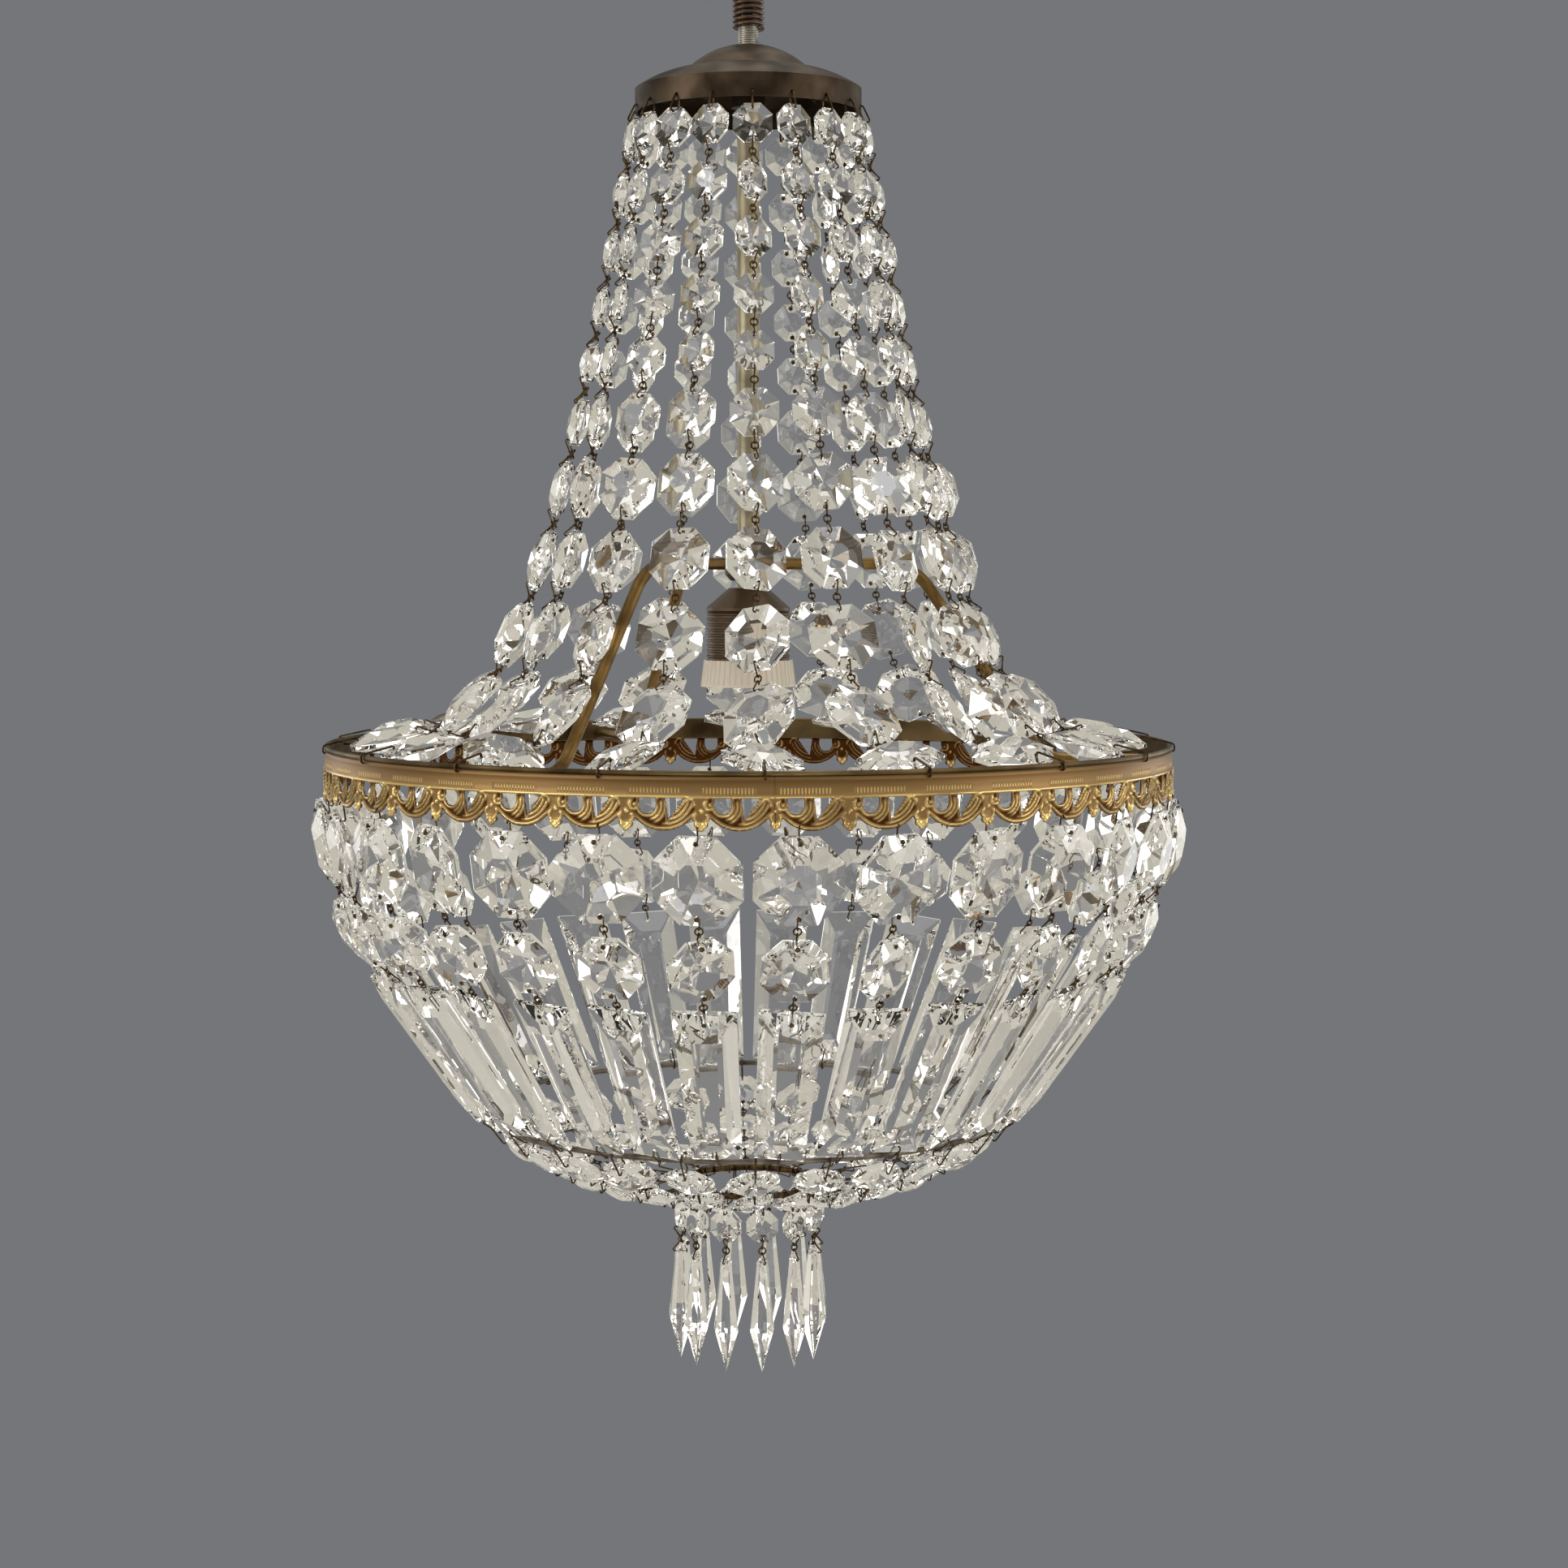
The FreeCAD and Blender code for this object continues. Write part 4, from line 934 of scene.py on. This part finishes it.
inner = add_parts("dish_inner_crystals", parts, crystal, "frame", "crystal")
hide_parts("dish_inner_octagons")


def every_second(row, first):
    """Every second crystal of a row."""
    per_strand = ("middle", "ups", "turns", "yaws", "top", "bottom")
    return {key: value[first::2] if key in per_strand else value for key, value in row.items()}


small_grip = (small_place, small_wire + wire_slack + wire)
parts = [closed_hook([ring_grip] + crystal_bends(dish[0], 1), turns)]
parts += link_parts(dish[0], dish[1]) + link_parts(dish[1], dish[2])
parts += link_parts(every_second(dish[2], 0), dish[3])
parts.append(closed_hook(crystal_bends(dish[3], -1) + [small_grip], turns[::2]))
parts.append(closed_hook(crystal_bends(dish[2], -1) + [small_grip], turns[1::2]))
dish_pins = add_parts("dish_pins", parts, pin_wire, "frame", "pin_wire", smooth=True)
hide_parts("dish_links")


# Tassels. An octagon and a six-sided spear drop hang on each of twelve hooks of the small
# ring. The octagon swings on the ring, and the spear on the eye between the two.

tassels = 12
tassel_turn = math.radians(11.5)
tassel_size = 15.0 * mm
tassel_hook = 8.8 * mm
spear_levels = ((2.4 * mm, 0.0), (5.4 * mm, 1.8 * mm), (6.6 * mm, 8.0 * mm), (12.4 * mm, 35.0 * mm))
spear_length = 55.0 * mm
spear_sides = 6
spear_hole = 3.2 * mm
drop_yaw = 22
most_drop_yaw = 45
bead_share = 0.4


def spear():
    """The points and faces of a spear drop with its hole at the origin: four six-sided rings
    and the tip, then the hole's two rings, in the facets that look to the front and back."""
    turn = 2 * math.pi * (np.arange(spear_sides) + 0.5) / spear_sides
    flat = math.cos(math.pi / spear_sides) / 2
    rings = [
        np.stack([width / 2 * np.sin(turn), width / 2 * np.cos(turn), 0 * turn + spear_hole - depth], -1)
        for width, depth in spear_levels
    ]
    (crown_width, crown), (neck_width, neck) = spear_levels[1:3]

    def facet(up):
        widening = (neck_width - crown_width) * (spear_hole - crown - up) / (neck - crown)
        return flat * (crown_width + widening)

    turn = np.radians(22.5 + 45 * np.arange(8))
    x, z = hole_radius * np.cos(turn), hole_radius * np.sin(turn)
    holes = [np.stack([x, side * facet(z), z], -1) for side in (-1, 1)]
    points = np.vstack(rings + [[[0, 0, spear_hole - spear_length]]] + holes)
    tip = spear_sides * len(rings)
    near, far = range(tip + 1, tip + 9), range(tip + 9, tip + 17)
    faces = [list(range(spear_sides))[::-1]]
    for i in range(spear_sides):
        j = (i + 1) % spear_sides
        for level in range(len(rings) - 1):
            a, b = level * spear_sides + i, level * spear_sides + j
            if level == 1 and i == 2:
                faces += four_sided([a, b, b + spear_sides, a + spear_sides], near)
            elif level == 1 and i == 5:
                faces += turned_over(four_sided([b, a, a + spear_sides, b + spear_sides], far))
            else:
                faces.append([a, b, b + spear_sides, a + spear_sides])
        faces.append([tip - spear_sides + i, tip - spear_sides + j, tip])
    return points, faces + tunnel(near, far), (facet(0.0), facet(0.0))


spear_points, spear_faces, spear_depth = spear()
hole = tassel_size / 2 - hole_inset(tassel_size)
spear_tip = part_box("tassel_spear_01")[0].z
down = np.array([0.0, -1.0])
bead_place = np.array(small_place) + down * (tassel_hook + hole)
drop_place = np.array([small_place[0], spear_tip + spear_length - spear_hole])
bead_yaws, drop_yaws = rng.normal(0, drop_yaw, (2, tassels)).clip(-most_drop_yaw, most_drop_yaw)
for i in range(tassels):
    number = str(i + 1).zfill(2)
    turns = np.array([tassel_turn + 2 * math.pi * i / tassels])
    bead = hang_octagons(tassel_size, bead_place, down, turns, bead_share * bead_yaws[i])
    drop = hang(spear_length, 0.0, spear_depth, drop_place, down, turns, drop_yaws[i])
    loop = closed_hook([small_grip] + crystal_bends(bead, 1), turns)
    upper_pin, lower_pin, eye = link_parts(bead, drop)
    glass = add_parts("tassel_bead_glass_" + number, [octagon_part(bead)], crystal,
                      "tassel_bead_" + number, "crystal")
    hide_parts("tassel_bead_" + number)
    add_parts("tassel_bead_wires_" + number, [loop, upper_pin, eye], pin_wire,
              "tassel_bead_" + number, "pin_wire", smooth=True)
    copies = set_out(spear_points, drop["middle"], drop["ups"], turns, drop["yaws"])
    glass = add_parts("tassel_spear_glass_" + number, [(copies, spear_faces)], crystal,
                      "tassel_spear_" + number, "crystal")
    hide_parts("tassel_spear_" + number)
    add_parts("tassel_spear_wire_" + number, [lower_pin], pin_wire,
              "tassel_spear_" + number, "pin_wire", smooth=True)


# Studio. A pale floor under the chandelier, a grey backdrop behind it that gives way to a
# lighter room on the other sides, and large white softboxes all round.

floor_height = -1.6
floor_radius = 2.2
floor_sides = 64
turn = 2 * math.pi * np.arange(floor_sides) / floor_sides
rim = np.stack([floor_radius * np.cos(turn), floor_radius * np.sin(turn), 0 * turn + floor_height], -1)
mesh = bpy.data.meshes.new("floor")
mesh.from_pydata(rim.tolist(), [], [list(range(floor_sides))])
floor = bpy.data.objects.new("floor", mesh)
bpy.context.scene.collection.objects.link(floor)
# Matt paint, so pale that the floor only throws light back up.
mesh.materials.append(new_material("pale_floor_paint", {
    "Base Color": linear("#dcdbd8"), "Roughness": 0.8})[0])

# The backdrop fills the directions close to straight back, and the room fills all others.
world = bpy.data.worlds.new("studio")
bpy.context.scene.world = world
world.use_nodes = True
tree = world.node_tree
way = add_node(tree, "ShaderNodeTexCoord", {}).outputs["Generated"]
axes = add_node(tree, "ShaderNodeSeparateXYZ", {"Vector": way})
behind = add_node(tree, "ShaderNodeMapRange", {
    "Value": axes.outputs["Y"], "From Min": 0.8, "From Max": 0.9},
    interpolation_type="SMOOTHSTEP")
room = add_node(tree, "ShaderNodeMix", {
    "Factor": behind.outputs["Result"], "A": linear("#c1beb0"), "B": linear("#747679")},
    data_type="RGBA")
background = tree.nodes["Background"]
tree.links.new(room.outputs["Result"], background.inputs["Color"])

middle_height = -0.38


def softbox(name, place, size, radiance):
    """A square light that faces the middle of the chandelier. Its power is its radiance times
    pi times its area."""
    light = bpy.data.lights.new(name, "AREA")
    light.shape = "SQUARE"
    light.size = size
    light.energy = radiance * math.pi * size * size
    box = bpy.data.objects.new(name, light)
    box.location = place
    way = np.array([0.0, 0.0, middle_height]) - np.array(place)
    length = np.linalg.norm(way)
    box.rotation_euler = (
        math.acos(-way[2] / length), 0.0, math.atan2(way[1], way[0]) - math.pi / 2)
    box.visible_camera = False
    bpy.context.scene.collection.objects.link(box)


softbox("left_box", (-1.6, -0.9, 0.2), 1.3, 1.8)
softbox("right_box", (1.7, -0.5, 0.0), 1.2, 1.5)
softbox("top_box", (0.1, 0.1, 1.1), 1.2, 1.6)
softbox("low_box", (0.2, -1.3, -1.35), 0.9, 1.4)
softbox("back_left_box", (-1.5, 1.2, -0.2), 0.8, 1.4)
softbox("back_right_box", (1.5, 1.1, -0.5), 0.8, 1.4)
softbox("left_spark", (-0.9, -1.9, 0.8), 0.3, 7.0)
softbox("right_spark", (1.2, -1.7, 0.6), 0.25, 7.0)

# The camera looks slightly down from the front, from a step away.
camera_data = bpy.data.cameras.new("camera")
camera_data.lens = 66.43
camera_data.sensor_width = 36.0
camera_data.shift_x = 0.0228
camera = bpy.data.objects.new("camera", camera_data)
camera.location = (0.0, -1.3751, -0.2898)
camera.rotation_euler = (math.radians(90 - 4.425), 0.0, 0.0)
bpy.context.scene.collection.objects.link(camera)
bpy.context.scene.camera = camera
bpy.context.scene.view_settings.view_transform = "Standard"
# Light crosses many crystals, one behind another, before it leaves them.
bpy.context.scene.cycles.max_bounces = 28
bpy.context.scene.cycles.transmission_bounces = 28
bpy.context.scene.cycles.glossy_bounces = 12
